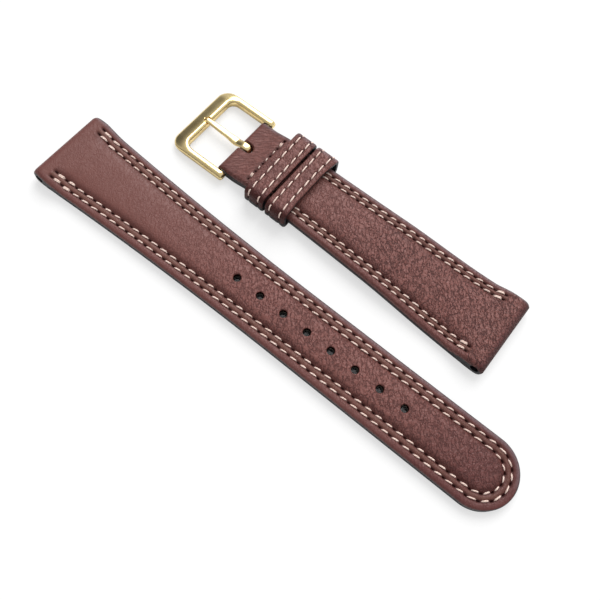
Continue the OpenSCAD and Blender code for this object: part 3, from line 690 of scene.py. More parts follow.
@dataclass
class StrapPiece(ABC):
    """What both leather pieces share: their cross-section, their stitch rows and their place."""

    name: str
    place: tuple[float, float]
    body: str
    rows: tuple[float, float]
    length: float
    seed: int
    lug_half: float = 10.0
    buckle_half: float = 8.0
    edge_thickness: float = 2.4
    lining_thickness: float = 0.9
    cover_thickness: float = 1.1
    crown: float = 0.6
    rim: float = 0.6
    loop_radius: float = 2.0
    tunnel_radius: float = 1.0
    lug_flat: float = 4.0
    turn_under: float = 6.5
    stitch_start: float = 4.6
    stitch_pitch: float = 2.65
    stitch_gap: float = 1.15
    thread_radius: float = 0.18
    valley_depth: float = 0.25
    valley_half: float = 0.5
    step: float = 0.25
    over: float = 1.0
    top_points: int = 40
    near_brim: float = 0.55
    far_brim: float = -0.07
    end_corner: float = 0.9
    # How far a valley sinks at its needle holes, the holes' depth, and the rise beside a stitch
    pull: float = 0.07
    hole_depth: float = 0.14
    pucker: float = 0.035
    # Heights and lengths of the face's slow waves
    swell: tuple = ((0.022, 9), (0.01, 2.8))
    pad_inset: float = 1.5
    row_names: tuple[str, str] = ("outer", "inner")

    @property
    def offset(self) -> tuple[float, float, float]:
        """Where the piece's own origin lies in the frame."""
        return self.place[0], self.place[1], 0.0

    @property
    @abstractmethod
    def grooved_ends(self) -> tuple[float, float]:
        """Where the valleys in the lining start and end."""

    @abstractmethod
    def half(self, u: Array) -> Array:
        """Half the width at u."""

    @abstractmethod
    def top(self, u: Array) -> Array:
        """Height of the upper face at its edge, at u."""

    @abstractmethod
    def under(self, u: Array) -> Array:
        """Height of the underside at u."""

    @abstractmethod
    def stitched(self, u: Array) -> Array:
        """1 where the rows are, and 0 beyond their ends."""

    @abstractmethod
    def crowned(self, u: Array) -> Array:
        """1 where the middle is padded up, and 0 beyond."""

    @abstractmethod
    def low(self, u: Array) -> Array:
        """Height of the cover's underside at its edge: on the lining, or the whole thickness."""

    @abstractmethod
    def padded(self, u: Array) -> Array:
        """True where the padding lies."""

    def worn(self, u: Array) -> Array:
        """How much rounder the upper rim is than elsewhere, from 0 to 1."""
        return ease(1 - u / 5)

    def rounded(self, beyond: Array) -> Array:
        """How far the side comes in at a rounded corner, at a distance from the end."""
        t = np.clip(1 - beyond / self.end_corner, 0, 1)
        return 0.6 * self.end_corner * (1 - np.sqrt(1 - 0.99 * t * t))

    def from_edge(self, u: Array, v: Array) -> Array:
        """Distance of a point from the side edge."""
        return self.half(u) - np.abs(v)

    @abstractmethod
    def phase(self, u: Array, v: Array, row: float) -> Array:
        """The count of stitches along a row at the place beside (u, v)."""

    def thread_height(self, u: Array) -> Array:
        """Height of a thread's middle in the valleys of the upper face."""
        return self.top(u) - self.valley_depth + self.thread_radius + SEAT

    def own(self, mesh: bpy.types.Mesh) -> tuple[Array, Array, Array]:
        """A mesh's points in the piece's own frame: u, v and height."""
        co = coordinates(mesh)
        return co[:, 0] - self.place[0], co[:, 1] - self.place[1], co[:, 2]

    def relief(self, u: Array, v: Array) -> Array:
        """How far the upper face lies over its edge height.

        The padded middle rises by crown times (1 - 0.55 f^3 - 0.45 f^8), where f runs from 0 at
        the middle to 1 beside the inner row. Each row lies in a smooth valley that is deeper at
        its needle holes, with the leather between them drawn up a little. Slow waves make it
        uneven.
        """
        d = self.from_edge(u, v)
        inner = d + np.abs(v) - self.rows[1] - self.valley_half
        f = np.clip(np.abs(v) / np.maximum(inner, 0.1), 0, 1)
        f = np.where(d < self.rows[1] + self.valley_half, 1, self.middle_share(u, v, f))
        z = self.crown * self.crowned(u) * (1 - 0.55 * f ** 3 - 0.45 * f ** 8)
        stitched = self.stitched(u)
        for row in self.rows:
            side = (d - row) / self.valley_half
            hole = needle(self.phase(u, v, row))
            z = z - stitched * bell(side / 1.15) * (self.valley_depth - 0.03 + self.pull * hole)
            z = z - stitched * self.hole_depth * bell(side / 0.6) * np.clip(
                hole - 0.55, 0, 1) / 0.45
            z = z + stitched * self.pucker * bell((d - row + 0.75) / 0.5) * (1 - 0.5 * hole)
        calm = ease(d / 1.5) * ease(u / 3) * ease((self.length - u) / 3)
        for k, (height, size) in enumerate(self.swell):
            z = z + height * calm * waves(u, v, size, self.seed + k)
        return z

    def middle_share(self, u: Array, v: Array, f: Array) -> Array:
        """The share f of the way from the middle to the inner row, for the padded rise."""
        return f

    @abstractmethod
    def stations(self) -> Array:
        """Places along the piece, close together at its round ends, with a pair at each step."""

    def spaced(self, start: float, end: float, steps: Sequence[float], *ends: Array) -> Array:
        """Stations for a piece.

        Args:
            start: Where the even ones start.
            end: Where they end.
            steps: Places of steps in the underside, which take a pair each.
            ends: Further stations at the round ends.

        Returns:
            All stations in order.
        """
        steps = np.concatenate([np.array(steps) - SEAT, steps])
        even = np.arange(start + self.step, end - 0.1, self.step)
        even = even[np.min(np.abs(even[:, None] - steps), 1) > 0.06]
        return np.sort(np.concatenate([*ends, steps, even]))

    def half_ring(self, u: Array) -> tuple[Array, Array]:
        """Half a cross-section of the cover at each u, from the middle over the edge and back.

        Args:
            u: Stations, as a column.

        Returns:
            Distances from the middle line, and heights, as arrays of stations by points.
        """
        half, top, low = self.half(u), self.top(u), self.low(u)
        rise = np.maximum(top - self.under(u), SEAT)
        rim = self.rim * np.minimum(1, rise / self.edge_thickness) * (1 + 1.1 * self.worn(u))
        # The upper face, with close places across each valley
        row_steps = np.linspace(1, -1, 9) * (self.valley_half + 0.08)
        depths = np.concatenate([self.rows[1] + row_steps, self.rows[0] + row_steps])
        depths = np.sort(depths)[::-1]
        f = np.linspace(0, 1, self.top_points - len(depths))[:-1]
        inner = half - depths[0]
        # Beyond the outer row, the last places move in where the rim is rounder
        outside = np.minimum(half - depths, half - rim - 0.01 * np.arange(len(depths))[::-1] - 0.01)
        y_top = np.concatenate([inner * f, outside, half - rim], 1)
        z_top = top + self.relief(np.broadcast_to(u, y_top.shape), y_top)
        # The round rim, and the side down to a small bevel at its foot
        turn = np.radians([72, 54, 36, 18, 0])
        y_rim = half - rim * (1 - np.cos(turn))
        z_rim = z_top[:, -1:] - rim * (1 - np.sin(turn))
        share = np.array([0.3, 0.65])
        foot = np.minimum(0.12, 0.2 * rise)
        y_side = np.repeat(half, 3, 1)
        z_side = np.concatenate([z_rim[:, -1:] * (1 - share) + (low + foot) * share, low + foot], 1)
        # The underside, and the face over the padding, or the lining where there is none
        y_low = np.concatenate([half - foot, half - 0.5, half - 1.7], 1)
        z_low = np.repeat(low, 3, 1)
        pad_edge = half - self.rows[1] - 0.47
        pad_f = np.array([1, 1, 0.85, 0.6, 0.3, 0])
        is_pad = self.padded(u)
        ceiling = top - self.cover_thickness + self.crown * (1 - pad_f ** 3)
        ceiling = np.where(pad_f == 1, low + 0.1 * np.array([0, 1, 0, 0, 0, 0]), ceiling)
        y_pad = pad_edge * pad_f
        z_pad = np.where(is_pad, ceiling, low)
        return (np.concatenate([y_top, y_rim, y_side, y_low, y_pad], 1),
                np.concatenate([z_top, z_rim, z_side, z_low, z_pad], 1))

    @staticmethod
    def whole_ring(u: Array, y: Array, z: Array) -> Array:
        """Mirrors half rings into whole ones: stations by points by 3."""
        ys = np.concatenate([y, -y[:, -2:0:-1]], 1)
        zs = np.concatenate([z, z[:, -2:0:-1]], 1)
        return stacked(u, ys, zs)

    @abstractmethod
    def cover_mesh(self) -> Mesh:
        """The cover before its holes are cut."""

    def dress_cover(self, mesh: bpy.types.Mesh) -> None:
        """Stores on the cover where its paint, valleys, needle holes, creases and pebbles are, and
        where shade and a sheen are painted.

        Args:
            mesh: The cover, in place.
        """
        u, v, z = self.own(mesh)
        d = self.from_edge(u, v)
        drop = self.top(np.clip(u, 0, self.length)) - z
        edge = ease((drop - self.brim(u, v)) / 0.42) * ease((0.6 - d) / 0.4)
        under = z < self.under(np.clip(u, 0, self.length)) + 0.35
        edge = np.maximum(edge, under * ease((0.62 - d) / 0.45))
        stitched = self.stitched(u)
        valley, pit = np.zeros(len(u)), np.zeros(len(u))
        # The valleys and needle holes of the rows are painted darker, as shade in them
        for row in self.rows:
            side = (d - row) / self.valley_half
            hole = needle(self.phase(u, v, row))
            valley = np.maximum(valley, bell(side / 1.1) * stitched * (0.6 + 0.25 * hole))
            pit = np.maximum(pit, bell(side / 0.72) * stitched * ease((hole - 0.45) / 0.3))
        # The flank of the padded middle is painted darker as shade down to the inner row, more on
        # the near side
        flank = bell((d - self.rows[1] - 0.35) / 1.5) * (d > self.rows[1]) * stitched
        valley = np.maximum(valley, np.where(v < 0, 0.55, 0.35) * flank)
        between = bell((d - (self.rows[0] + self.rows[1]) / 2) / 0.75) * stitched
        pebble = self.pebble(u, v) * (1 - 0.6 * ease((self.rows[1] + 0.6 - d) / 0.8) * stitched)
        # The turned underside has neither valleys nor needle holes of the rows
        valley, pit = map(np.maximum, (valley * ~under, pit * ~under), self.marks(u, v, z))
        # A grey sheen is painted on the far margin, as a painted reflection
        faded = ease((1.15 - d) / 0.6) * ease(v / 3)
        # The margin outside the stitches is redder, with more red on the near side as painted shade
        margin = ease((self.rows[0] + 0.1 - d) / 0.7) * np.where(v < 0, 0.42, 0.2)
        warm = np.clip(self.warm(u, v) + margin, 0, 1)
        paint(mesh, edge=edge, valley=valley, pit=pit, between=between, pebble=pebble,
              streak=self.streak(u, v), warm=warm, faded=faded)

    def marks(self, u: Array, v: Array, z: Array) -> tuple[Array, Array]:
        """Valleys and pits besides those of the rows along the sides."""
        # The walls of the adjusting holes are painted as pits, as shade in the holes
        return np.zeros(len(u)), self.bored(u, v)

    def bored(self, u: Array, v: Array) -> Array:
        """1 on the walls of the adjusting holes, and 0 elsewhere."""
        return np.zeros(len(u))

    def brim(self, u: Array, v: Array) -> Array:
        """How far under the upper face the paint starts: at the rim on the far side."""
        return np.where(v < 0, self.near_brim, self.far_brim)

    @abstractmethod
    def pebble(self, u: Array, v: Array) -> Array:
        """How pebbled the grain is, from 0 to 1."""

    def streak(self, u: Array, v: Array) -> Array:
        """How far the grain is drawn into wrinkles across the piece, from 0 to 1."""
        return np.zeros(len(u))

    @abstractmethod
    def warm(self, u: Array, v: Array) -> Array:
        """How far the leather is painted dark red as shade, from 0 to 1."""

    def dress_lining(self, mesh: bpy.types.Mesh) -> None:
        """Stores on the lining where its painted edge is, and the walls of its holes, which are
        painted dark as shade.
        """
        u, v, _ = self.own(mesh)
        painted = ease((0.12 - self.from_edge(u, v)) / 0.1)
        paint(mesh, edge=np.maximum(painted, self.bored(u, v)))

    def dress_pad(self, mesh: bpy.types.Mesh) -> None:
        """Stores on the padding the walls of its holes, which are painted dark as shade."""
        u, v, _ = self.own(mesh)
        paint(mesh, stain=self.bored(u, v))

    def lining_ring(self, u: Array) -> tuple[Array, Array]:
        """Half a cross-section of the lining, with a shallow valley along each row.

        Args:
            u: Stations, as a column.

        Returns:
            Distances from the middle line, and heights, as arrays of stations by points.
        """
        start, end = self.grooved_ends
        half, under = self.half(u), self.under(u)
        depths = np.sort(np.concatenate([[0.05, 0.3, 0.7]] + [
            row + np.linspace(-1, 1, 9) * 0.52 for row in self.rows]))
        grooved = ease((u - start - 0.3) / 0.6) * ease((end - u - 0.3) / 0.6)
        dip = sum(0.44 * ease((1 - np.abs(depths - row) / 0.5) * 2.2) for row in self.rows)
        y_low = half - depths
        z_low = under + np.minimum(dip, 0.5) * grooved
        f = np.array([0.75, 0.5, 0.25, 0])
        mid = y_low[:, -1:] * f
        top = under + self.lining_thickness
        y = np.concatenate([np.zeros_like(half), half, half, half, y_low, mid], 1)
        z = np.concatenate([top, top, top - 0.1, under + 0.05, z_low, np.repeat(under, 4, 1)], 1)
        return y, z

    @abstractmethod
    def lining_mesh(self) -> Mesh:
        """The lining before its holes are punched."""

    def pad_ring(self, u: Array) -> tuple[Array, Array]:
        """Half a cross-section of the padding, which is crowned like the cover over it.

        Args:
            u: Stations, as a column.

        Returns:
            Distances from the middle line, and heights, as arrays of stations by points.
        """
        half, low, top = self.half(u), self.under(u) + self.lining_thickness, self.top(u)
        edge = half - self.rows[1] - 0.5
        f = np.linspace(0, 0.97, 12)
        # It stays just under the cover, and its edges round off down to the lining
        ceiling = top - self.cover_thickness - 0.05 + self.crown * (1 - f ** 3) * 0.98
        slope = low + 0.1 + (ceiling[:, -1:] - low - 0.1) * ease((1 - f) / 0.15)
        y = np.concatenate([edge * f, edge, edge, edge * 0.5, 0 * edge], 1)
        z = np.concatenate([np.minimum(ceiling, slope), low + 0.09] + [low + SEAT] * 3, 1)
        return y, z

    @abstractmethod
    def pad_mesh(self) -> Mesh:
        """The padding before its holes are punched."""

    def bore(self, u: float, height: float, radius: float) -> Array:
        """A rod across the piece that is longer than the piece is wide, as a grid of points."""
        reach = self.lug_half + self.over
        rod = lathe([(AXIS, -reach), (radius, -reach), (radius, reach), (AXIS, reach)])
        return across_y(rod) + [u, 0, height]

    @abstractmethod
    def bores(self) -> list[bpy.types.Mesh]:
        """What is taken out of the cover only."""

    def punches(self) -> list[bpy.types.Mesh]:
        """What is punched through the cover, the lining and the padding."""
        return []

    @abstractmethod
    def stitch(self, thread: "Stitching", row: float) -> None:
        """Adds the stitches of one row, along both sides and on both faces."""

    def build(self, looks: Looks) -> None:
        """Builds the cover, the lining, the padding and the rows along the sides.

        Args:
            looks: The material of each slot.
        """
        for node, form, slot, shape, bores, dress in (
                ("cover", "skin", Slot.COVER, self.cover_mesh(), self.bores(), self.dress_cover),
                ("lining", "skin", Slot.LINING, self.lining_mesh(), [], self.dress_lining),
                ("pad", "core", Slot.PADDING, self.pad_mesh(), [], self.dress_pad)):
            name = f"{self.name}_{node}"
            mesh = shape.build(f"{name}_{form}", self.offset)
            cutters = self.punches() + bores
            if cutters:
                mesh = cut(mesh, cutters)
            smooth(mesh)
            dress(mesh)
            piece = set_piece(f"{name}_{form}", mesh, self.body, slot, looks, name)
        for row, name in zip(self.rows, self.row_names):
            thread = Stitching(self.thread_radius, self.seed + int(10 * row))
            self.stitch(thread, row)
            thread.place(f"{self.name}_{name}", self.offset, self.body, looks)


@dataclass
class LongPiece(StrapPiece):
    """The long piece: a lug end, a taper, a parallel part with adjusting holes, and a round tip."""

    taper_length: float = 69.6
    taper_power: float = 2.1
    lug_run: float = 5.0
    crown_run: float = 4.0
    first_hole: float = 51.75
    hole_pitch: float = 6.43
    hole_count: int = 8
    hole_radius: float = 0.85

    @property
    def tip_centre(self) -> float:
        """Where the round tip's centre lies."""
        return self.length - self.buckle_half

    @property
    def pad_start(self) -> float:
        """Where the padding starts."""
        return self.turn_under + self.pad_inset

    @property
    def grooved_ends(self) -> tuple[float, float]:
        """The valleys in the lining run on round the tip."""
        return self.turn_under, self.length + 5

    def half(self, u: Array) -> Array:
        """Half the width: from the lugs' down to the buckle's, along a power curve."""
        t = np.clip((self.taper_length - u) / (self.taper_length - self.lug_flat), 0, 1)
        return (self.buckle_half + (self.lug_half - self.buckle_half) * t ** self.taper_power
                - self.rounded(u))

    def top(self, u: Array) -> Array:
        """A round end at the lug, which thins out smoothly to the edge thickness."""
        r = self.loop_radius
        run = (u - r) / (self.stitch_start + self.lug_run - r)
        flat = self.edge_thickness + (2 * r - self.edge_thickness) * (1 - ease(run))
        return np.where(u < r, r * (1 + bulge(u, r)), flat)

    def under(self, u: Array) -> Array:
        """Flat, but for the round end at the lug."""
        return self.loop_radius * (1 - bulge(u, self.loop_radius))

    def stitched(self, u: Array) -> Array:
        """The rows start at stitch_start, and go round the tip."""
        return ease((u - self.stitch_start + 1) * 2)

    def crowned(self, u: Array) -> Array:
        """The middle rises over the first millimetres of the rows."""
        return ease((u - self.stitch_start + 1) / self.crown_run)

    def low(self, u: Array) -> Array:
        """The cover wraps the lug end and lies on the lining from turn_under on."""
        return np.where(u < self.turn_under, self.under(u), self.lining_thickness)

    def padded(self, u: Array) -> Array:
        """The padding fills the piece from the lug end to the tip."""
        return u >= self.pad_start

    def from_edge(self, u: Array, v: Array) -> Array:
        """Distance from the side edge, or from the round tip's edge."""
        beyond = self.buckle_half - np.hypot(u - self.tip_centre, v)
        return np.where(u > self.tip_centre, beyond, self.half(u) - np.abs(v))

    def middle_share(self, u: Array, v: Array, f: Array) -> Array:
        """Round the tip, the share is that of the distance from its centre."""
        inner = self.buckle_half - self.rows[1] - self.valley_half
        return np.where(u > self.tip_centre,
                        np.clip(np.hypot(u - self.tip_centre, v) / inner, 0, 1), f)

    def row_counts(self, row: float) -> tuple[int, int]:
        """Stitches along one side, and round the tip."""
        return (round((self.tip_centre - self.stitch_start) / self.stitch_pitch),
                round(math.pi * (self.buckle_half - row) / self.stitch_pitch))

    def phase(self, u: Array, v: Array, row: float) -> Array:
        """Stitches from the lug end along the side, and on round the tip by its angle."""
        side, tip = self.row_counts(row)
        along = (u - self.stitch_start) / (self.tip_centre - self.stitch_start) * side
        turn = np.arctan2(v, np.maximum(u - self.tip_centre, 1e-9))
        return np.where(u > self.tip_centre, side + (turn / np.pi + 0.5) * tip, along)

    def stations(self) -> Array:
        """Up to the round tip's centre, with steps where the lining and the padding start."""
        return self.spaced(self.loop_radius, self.tip_centre, [self.turn_under, self.pad_start],
                           self.loop_radius * ROUND_END, [self.tip_centre])

    def swept(self, u: Array, half_ring: HalfRing, turns: int) -> Mesh:
        """A straight part that ends in the round tip, closed all round.

        Args:
            u: Stations of the straight part, as a column, up to the tip's centre.
            half_ring: Its cross-section.
            turns: Number of half rings round the tip.

        Returns:
            The mesh, with the tip's points last.
        """
        mesh = Mesh()
        ring = self.whole_ring(u, *half_ring(u))
        mesh.grid(ring, wrap=True)
        mesh.polygons.append(np.arange(ring.shape[1])[::-1])
        y, z = half_ring(u[-1:])
        a = np.linspace(-np.pi / 2, np.pi / 2, turns)[:, None]
        mesh.grid(stacked(self.tip_centre + y * np.cos(a), y * np.sin(a), z))
        return mesh

    def cover_mesh(self) -> Mesh:
        """The cover before its holes are cut.

        Round the tip, each point of the upper face takes the relief of its own place instead of
        that of the last straight section.
        """
        u = self.stations()[:, None]
        turns = 121
        mesh = self.swept(u, self.half_ring, turns)
        tip = mesh.points[-1].reshape(turns, -1, 3)
        last = tip[-1, :, 1]
        upper = np.arange(len(last)) < self.top_points
        own = self.relief(tip[1:-1, upper, 0], tip[1:-1, upper, 1])
        tip[1:-1, upper, 2] += own - self.relief(np.full(upper.sum(), self.tip_centre), last[upper])
        return mesh

    def lining_mesh(self) -> Mesh:
        """The lining, from where the cover is turned under to the tip."""
        u = np.linspace(self.turn_under, self.tip_centre, 275)[:, None]
        return self.swept(u, self.lining_ring, 61)

    def pad_mesh(self) -> Mesh:
        """The padding, from behind the lug end to the tip."""
        u = np.linspace(self.pad_start + SEAT, self.tip_centre, 136)[:, None]
        return self.swept(u, self.pad_ring, 31)

    def pebble(self, u: Array, v: Array) -> Array:
        """Smooth at the lug end, and grained from the middle on."""
        return 0.12 + 0.6 * ease((u - 12) / 55)

    def warm(self, u: Array, v: Array) -> Array:
        """Painted shade in dark red towards the round tip, and a little where the lug end turns
        down.
        """
        return 0.5 * ease(1 - u / 3) + 0.8 * ease((u - 88) / 32)

    def brim(self, u: Array, v: Array) -> Array:
        """As on any piece, and at the rim round the tip."""
        return np.where(v < 0, self.far_brim + (self.near_brim - self.far_brim)
                        * (1 - 0.8 * ease((u - self.tip_centre) / 5)), self.far_brim)

    def bored(self, u: Array, v: Array) -> Array:
        """1 on the walls of the adjusting holes, and 0 from their flared brims on."""
        turn = np.clip(np.round((u - self.first_hole) / self.hole_pitch), 0, self.hole_count - 1)
        out = np.hypot(u - self.first_hole - turn * self.hole_pitch, v)
        return ease((self.hole_radius + 0.09 - out) / 0.08)

    def punches(self) -> list[bpy.types.Mesh]:
        """The adjusting holes: straight, and flared where the leather is drawn down."""
        r = self.hole_radius
        top = self.edge_thickness + self.crown
        profile = [(AXIS, -1), (r, -1), (r, top - 0.34), (r + 0.05, top - 0.17),
                   (r + 0.15, top - 0.05), (r + 0.3, top + 0.03), (r + 0.5, top + 0.4),
                   (AXIS, top + 0.4)]
        mesh = Mesh()
        for i in range(self.hole_count):
            mesh.grid(lathe(profile, 40) + [self.first_hole + i * self.hole_pitch, 0, 0],
                      wrap=True, caps=True)
        return [mesh.build("punches", self.offset)]

    def bores(self) -> list[bpy.types.Mesh]:
        """The tunnel for the watch's spring bar, across the lug end."""
        r = self.loop_radius
        return [closed_mesh("tunnel", self.bore(r, r, self.tunnel_radius), self.offset)]

    def stitch(self, thread: "Stitching", row: float) -> None:
        """One row that runs round the tip, doubled at both ends, and again on the lining."""
        holes = self.needle_holes(row)
        thread.row(holes, self.stitch_gap / 2, UP, ends_doubled=2)
        holes = holes[holes[:, 0] > self.turn_under]
        holes[:, 2] = self.thread_radius + SEAT
        thread.row(holes, self.stitch_gap / 2, DOWN)

    def needle_holes(self, row: float) -> Array:
        """The places of a row's needle holes, from one lug corner round the tip to the other."""
        side, tip = self.row_counts(row)
        u = np.linspace(self.stitch_start, self.tip_centre, side + 1)
        a = np.linspace(-np.pi / 2, np.pi / 2, tip + 1)[1:-1]
        r = self.buckle_half - row
        v = self.half(u) - row
        x = np.concatenate([u, self.tip_centre + r * np.cos(a), u[::-1]])
        y = np.concatenate([-v, r * np.sin(a), v[::-1]])
        return stacked(x, y, self.thread_height(x))


@dataclass
class ShortPiece(StrapPiece):
    """The short piece: a folded end with a slot, a rise over its keepers, and a lug end."""

    taper_power: float = 1.7
    fold_radius: float = 1.55
    fold_run: float = 15.0
    fold_crown_run: float = 8.0
    lug_crown_run: float = 4.0
    lug_run: float = 5.0
    slot_width: float = 2.5
    slot_length: float = 3.5
    bar_bore: float = 0.8
    keeper_lift: float = 1.05
    lift_start: float = 3.7
    lift_top: float = 9.25
    lift_end: float = 41.8
    lift_run_out: float = 8.0
    under_end: float = 8.8
    first_stitch: float = 14.5
    row_end: float = 69.6
    fold_row: float = 7.9
    fold_stitches: int = 5
    near_brim: float = 1.1

    @property
    def grooved_ends(self) -> tuple[float, float]:
        """The valleys in the lining run from end to end."""
        return self.under_end, self.length - self.turn_under

    @property
    def pad_ends(self) -> tuple[float, float]:
        """Where the padding starts and ends."""
        return self.first_stitch + 5, self.length - self.turn_under - self.pad_inset

    @property
    def fold_reach(self) -> float:
        """Half the length of the cross row."""
        return self.fold_stitches * self.stitch_pitch / 2

    @property
    def stitch_count(self) -> int:
        """Stitches along one side."""
        return round((self.row_end - self.first_stitch) / self.stitch_pitch)

    @property
    def lug_start(self) -> float:
        """Where the full thickness of the lug loop is nearly reached."""
        return self.length - self.stitch_start

    @property
    def tunnel(self) -> float:
        """Where the lug's spring bar lies."""
        return self.length - self.loop_radius

    def half(self, u: Array) -> Array:
        """Half the width: from the buckle's up to the lugs', along a power curve."""
        t = np.clip(u / (self.length - self.lug_flat), 0, 1)
        return (self.buckle_half + (self.lug_half - self.buckle_half) * t ** self.taper_power
                - self.rounded(self.length - u))

    def lift(self, u: Array) -> Array:
        """The rise over the keepers' floors."""
        return self.keeper_lift * (
            ease((u - self.lift_start) / (self.lift_top - self.lift_start))
            - ease((u - self.lift_end) / (self.lug_start - self.lift_run_out - self.lift_end)))

    def thick(self, u: Array) -> Array:
        """The thickness at the edge: thicker at the fold and at the lug loop."""
        run = (u - self.lug_start + self.lug_run) / (
            self.tunnel - self.lug_start + self.lug_run - 0.5)
        fold = (2 * self.fold_radius - self.edge_thickness) * (
            1 - ease((u - self.fold_radius) / self.fold_run))
        return self.edge_thickness + fold + (2 * self.loop_radius - self.edge_thickness) * ease(run)

    def top(self, u: Array) -> Array:
        """Round at the fold and at the lug end, and the lift plus the thickness between."""
        r, f = self.loop_radius, self.fold_radius
        z = np.where(u < f, f * (1 + bulge(u, f)), self.lift(u) + self.thick(u))
        return np.where(u > self.tunnel, r * (1 + bulge(self.length - u, r)), z)

    def under(self, u: Array) -> Array:
        """Round at the fold and at the lug end, and the lift between."""
        r, f = self.loop_radius, self.fold_radius
        z = np.where(u < f, f * (1 - bulge(u, f)), self.lift(u))
        return np.where(u > self.tunnel, r * (1 - bulge(self.length - u, r)), z)

    def stitched(self, u: Array) -> Array:
        """The rows run from under the keepers to the lug end."""
        return ease((u - self.first_stitch + 0.5) * 2) * ease((self.row_end + 1 - u) * 2)

    def crowned(self, u: Array) -> Array:
        """The middle rises slowly behind the fold and ends with the rows."""
        return (ease((u - self.first_stitch) / self.fold_crown_run)
                * ease((self.row_end + 1 - u) / self.lug_crown_run))

    def lined(self, u: Array) -> Array:
        """True where the lining lies."""
        return (u >= self.under_end) & (u <= self.length - self.turn_under)

    def low(self, u: Array) -> Array:
        """The cover lies on the lining, and is turned under at both ends."""
        return self.under(u) + np.where(self.lined(u), self.lining_thickness, 0)

    def padded(self, u: Array) -> Array:
        """The padding lies between the keepers and the lug end."""
        start, end = self.pad_ends
        return (u >= start) & (u <= end)

    def phase(self, u: Array, v: Array, row: float) -> Array:
        """Stitches from the first needle hole."""
        return (u - self.first_stitch) / (self.row_end - self.first_stitch) * self.stitch_count

    def relief(self, u: Array, v: Array) -> Array:
        """As on any piece, with the cross row's valley on the folded end."""
        reach = self.fold_reach
        hole = needle(v + reach, self.stitch_pitch)
        row = bell((u - self.fold_row) / 0.6) * ease((reach + 0.5 - np.abs(v)) / 0.6)
        pit = bell((u - self.fold_row) / 0.3) * np.clip(hole - 0.6, 0, 1)
        pit = pit * (np.abs(v) < reach + 0.3)
        return super().relief(u, v) - row * (self.valley_depth - 0.03 + 0.06 * hole) - 0.3 * pit

    def stations(self) -> Array:
        """Over both round ends, with steps where the lining and the padding start and end."""
        steps = [self.under_end, self.pad_ends[0], self.pad_ends[1] + SEAT,
                 self.length - self.turn_under + SEAT]
        return self.spaced(self.fold_radius, self.tunnel, steps, self.fold_radius * ROUND_END,
                           self.length - self.loop_radius * ROUND_END)

    def worn(self, u: Array) -> Array:
        """Rounder towards the lug end."""
        return ease((u - self.length + 7) / 4.5)

    def pebble(self, u: Array, v: Array) -> Array:
        """Most pebbled towards the lug end."""
        return 0.55 + 0.45 * ease((u - 20) / 30)

    def streak(self, u: Array, v: Array) -> Array:
        """Wrinkled across on the folded end."""
        return 0.8 * ease((13 - u) / 4)

    def warm(self, u: Array, v: Array) -> Array:
        """Painted shade in dark red where the lug end turns down, and a little at the fold."""
        return ease((u - self.length + 2.6) / 1.8) + 0.25 * ease(1 - u / 4)

    def marks(self, u: Array, v: Array, z: Array) -> tuple[Array, Array]:
        """The cross row's valley and needle holes, painted darker as shade, and painted shade where
        the lug end turns down.
        """
        reach = self.fold_reach
        upper = z > self.under(u) + 1
        across = bell((u - self.fold_row) / 0.6) * (np.abs(v) < reach + 0.3) * upper
        hole = ease((needle(v + reach, self.stitch_pitch) - 0.6) / 0.3)
        # Painted shade where the lug end turns down
        end = ease((u - self.length + 1.3) / 0.9)
        return (np.maximum(0.7 * across, 0.9 * end),
                across * hole * (np.abs(u - self.fold_row) < 0.32))

    def straight(self, u: Array, half_ring: HalfRing) -> Mesh:
        """A part with closed ends, from its stations and its cross-section."""
        mesh = Mesh()
        mesh.grid(self.whole_ring(u[:, None], *half_ring(u[:, None])), wrap=True, caps=True)
        return mesh

    def cover_mesh(self) -> Mesh:
        """The cover before its holes are cut."""
        return self.straight(self.stations(), self.half_ring)

    def lining_mesh(self) -> Mesh:
        """The lining, between the parts of the cover that are turned under."""
        start, end = self.grooved_ends
        return self.straight(np.linspace(start, end, int((end - start) / 0.4)), self.lining_ring)

    def pad_mesh(self) -> Mesh:
        """The padding, a hair shorter than its room."""
        start, end = self.pad_ends[0] + SEAT, self.pad_ends[1] - SEAT
        return self.straight(np.linspace(start, end, int((end - start) / 0.8)), self.pad_ring)

    def bores(self) -> list[bpy.types.Mesh]:
        """The bar's bore, the lug's tunnel and the tongue's slot."""
        pins = Mesh()
        for u, height, radius in ((self.fold_radius, self.fold_radius, self.bar_bore),
                                  (self.tunnel, self.loop_radius, self.tunnel_radius)):
            pins.grid(self.bore(u, height, radius), wrap=True, caps=True)
        a = np.linspace(-np.pi / 2, np.pi / 2, 25)
        r = self.slot_width / 2
        x = np.concatenate([[-1], self.slot_length - r + r * np.cos(a), [-1]])
        y = np.concatenate([[-r], r * np.sin(a), [r]])
        # The slot's upper brim is rounded where the leather is turned into it
        grow = np.array([0, 0, 0.07, 0.16, 0.32, 0.6])[:, None]
        z = np.array([-1, 2.3, 2.62, 2.85, 3.04, 3.5])[:, None]
        angle = np.concatenate([[-np.pi / 2], a, [np.pi / 2]])
        slot = stacked(x + 1.5 * grow * np.cos(angle), y + 0.55 * grow * np.sin(angle), z)
        return [pins.build("bores", self.offset), closed_mesh("slot", slot, self.offset)]

    def stitch(self, thread: "Stitching", row: float) -> None:
        """One row along each side, doubled at both ends, and again on the lining."""
        u = np.linspace(self.first_stitch, self.row_end, self.stitch_count + 1)
        for side in (-1, 1):
            v = side * (self.half(u) - row)
            thread.row(stacked(u, v, self.thread_height(u)), self.stitch_gap / 2, UP,
                       ends_doubled=1)
            low = stacked(u, v, self.under(u) + self.thread_radius + SEAT)
            thread.row(low[u < self.length - self.turn_under], self.stitch_gap / 2, DOWN)

    def build(self, looks: Looks) -> None:
        """Builds what both pieces have, and the cross row of finer stitches on the fold."""
        super().build(looks)
        thread = Stitching(0.85 * self.thread_radius, self.seed + 99)
        v = (np.arange(self.fold_stitches + 1) - self.fold_stitches / 2) * self.stitch_pitch
        u = np.full(len(v), self.fold_row)
        row = stacked(u, v, self.thread_height(u))
        thread.row(row[1:-1], self.stitch_gap / 2 + 0.35, UP)
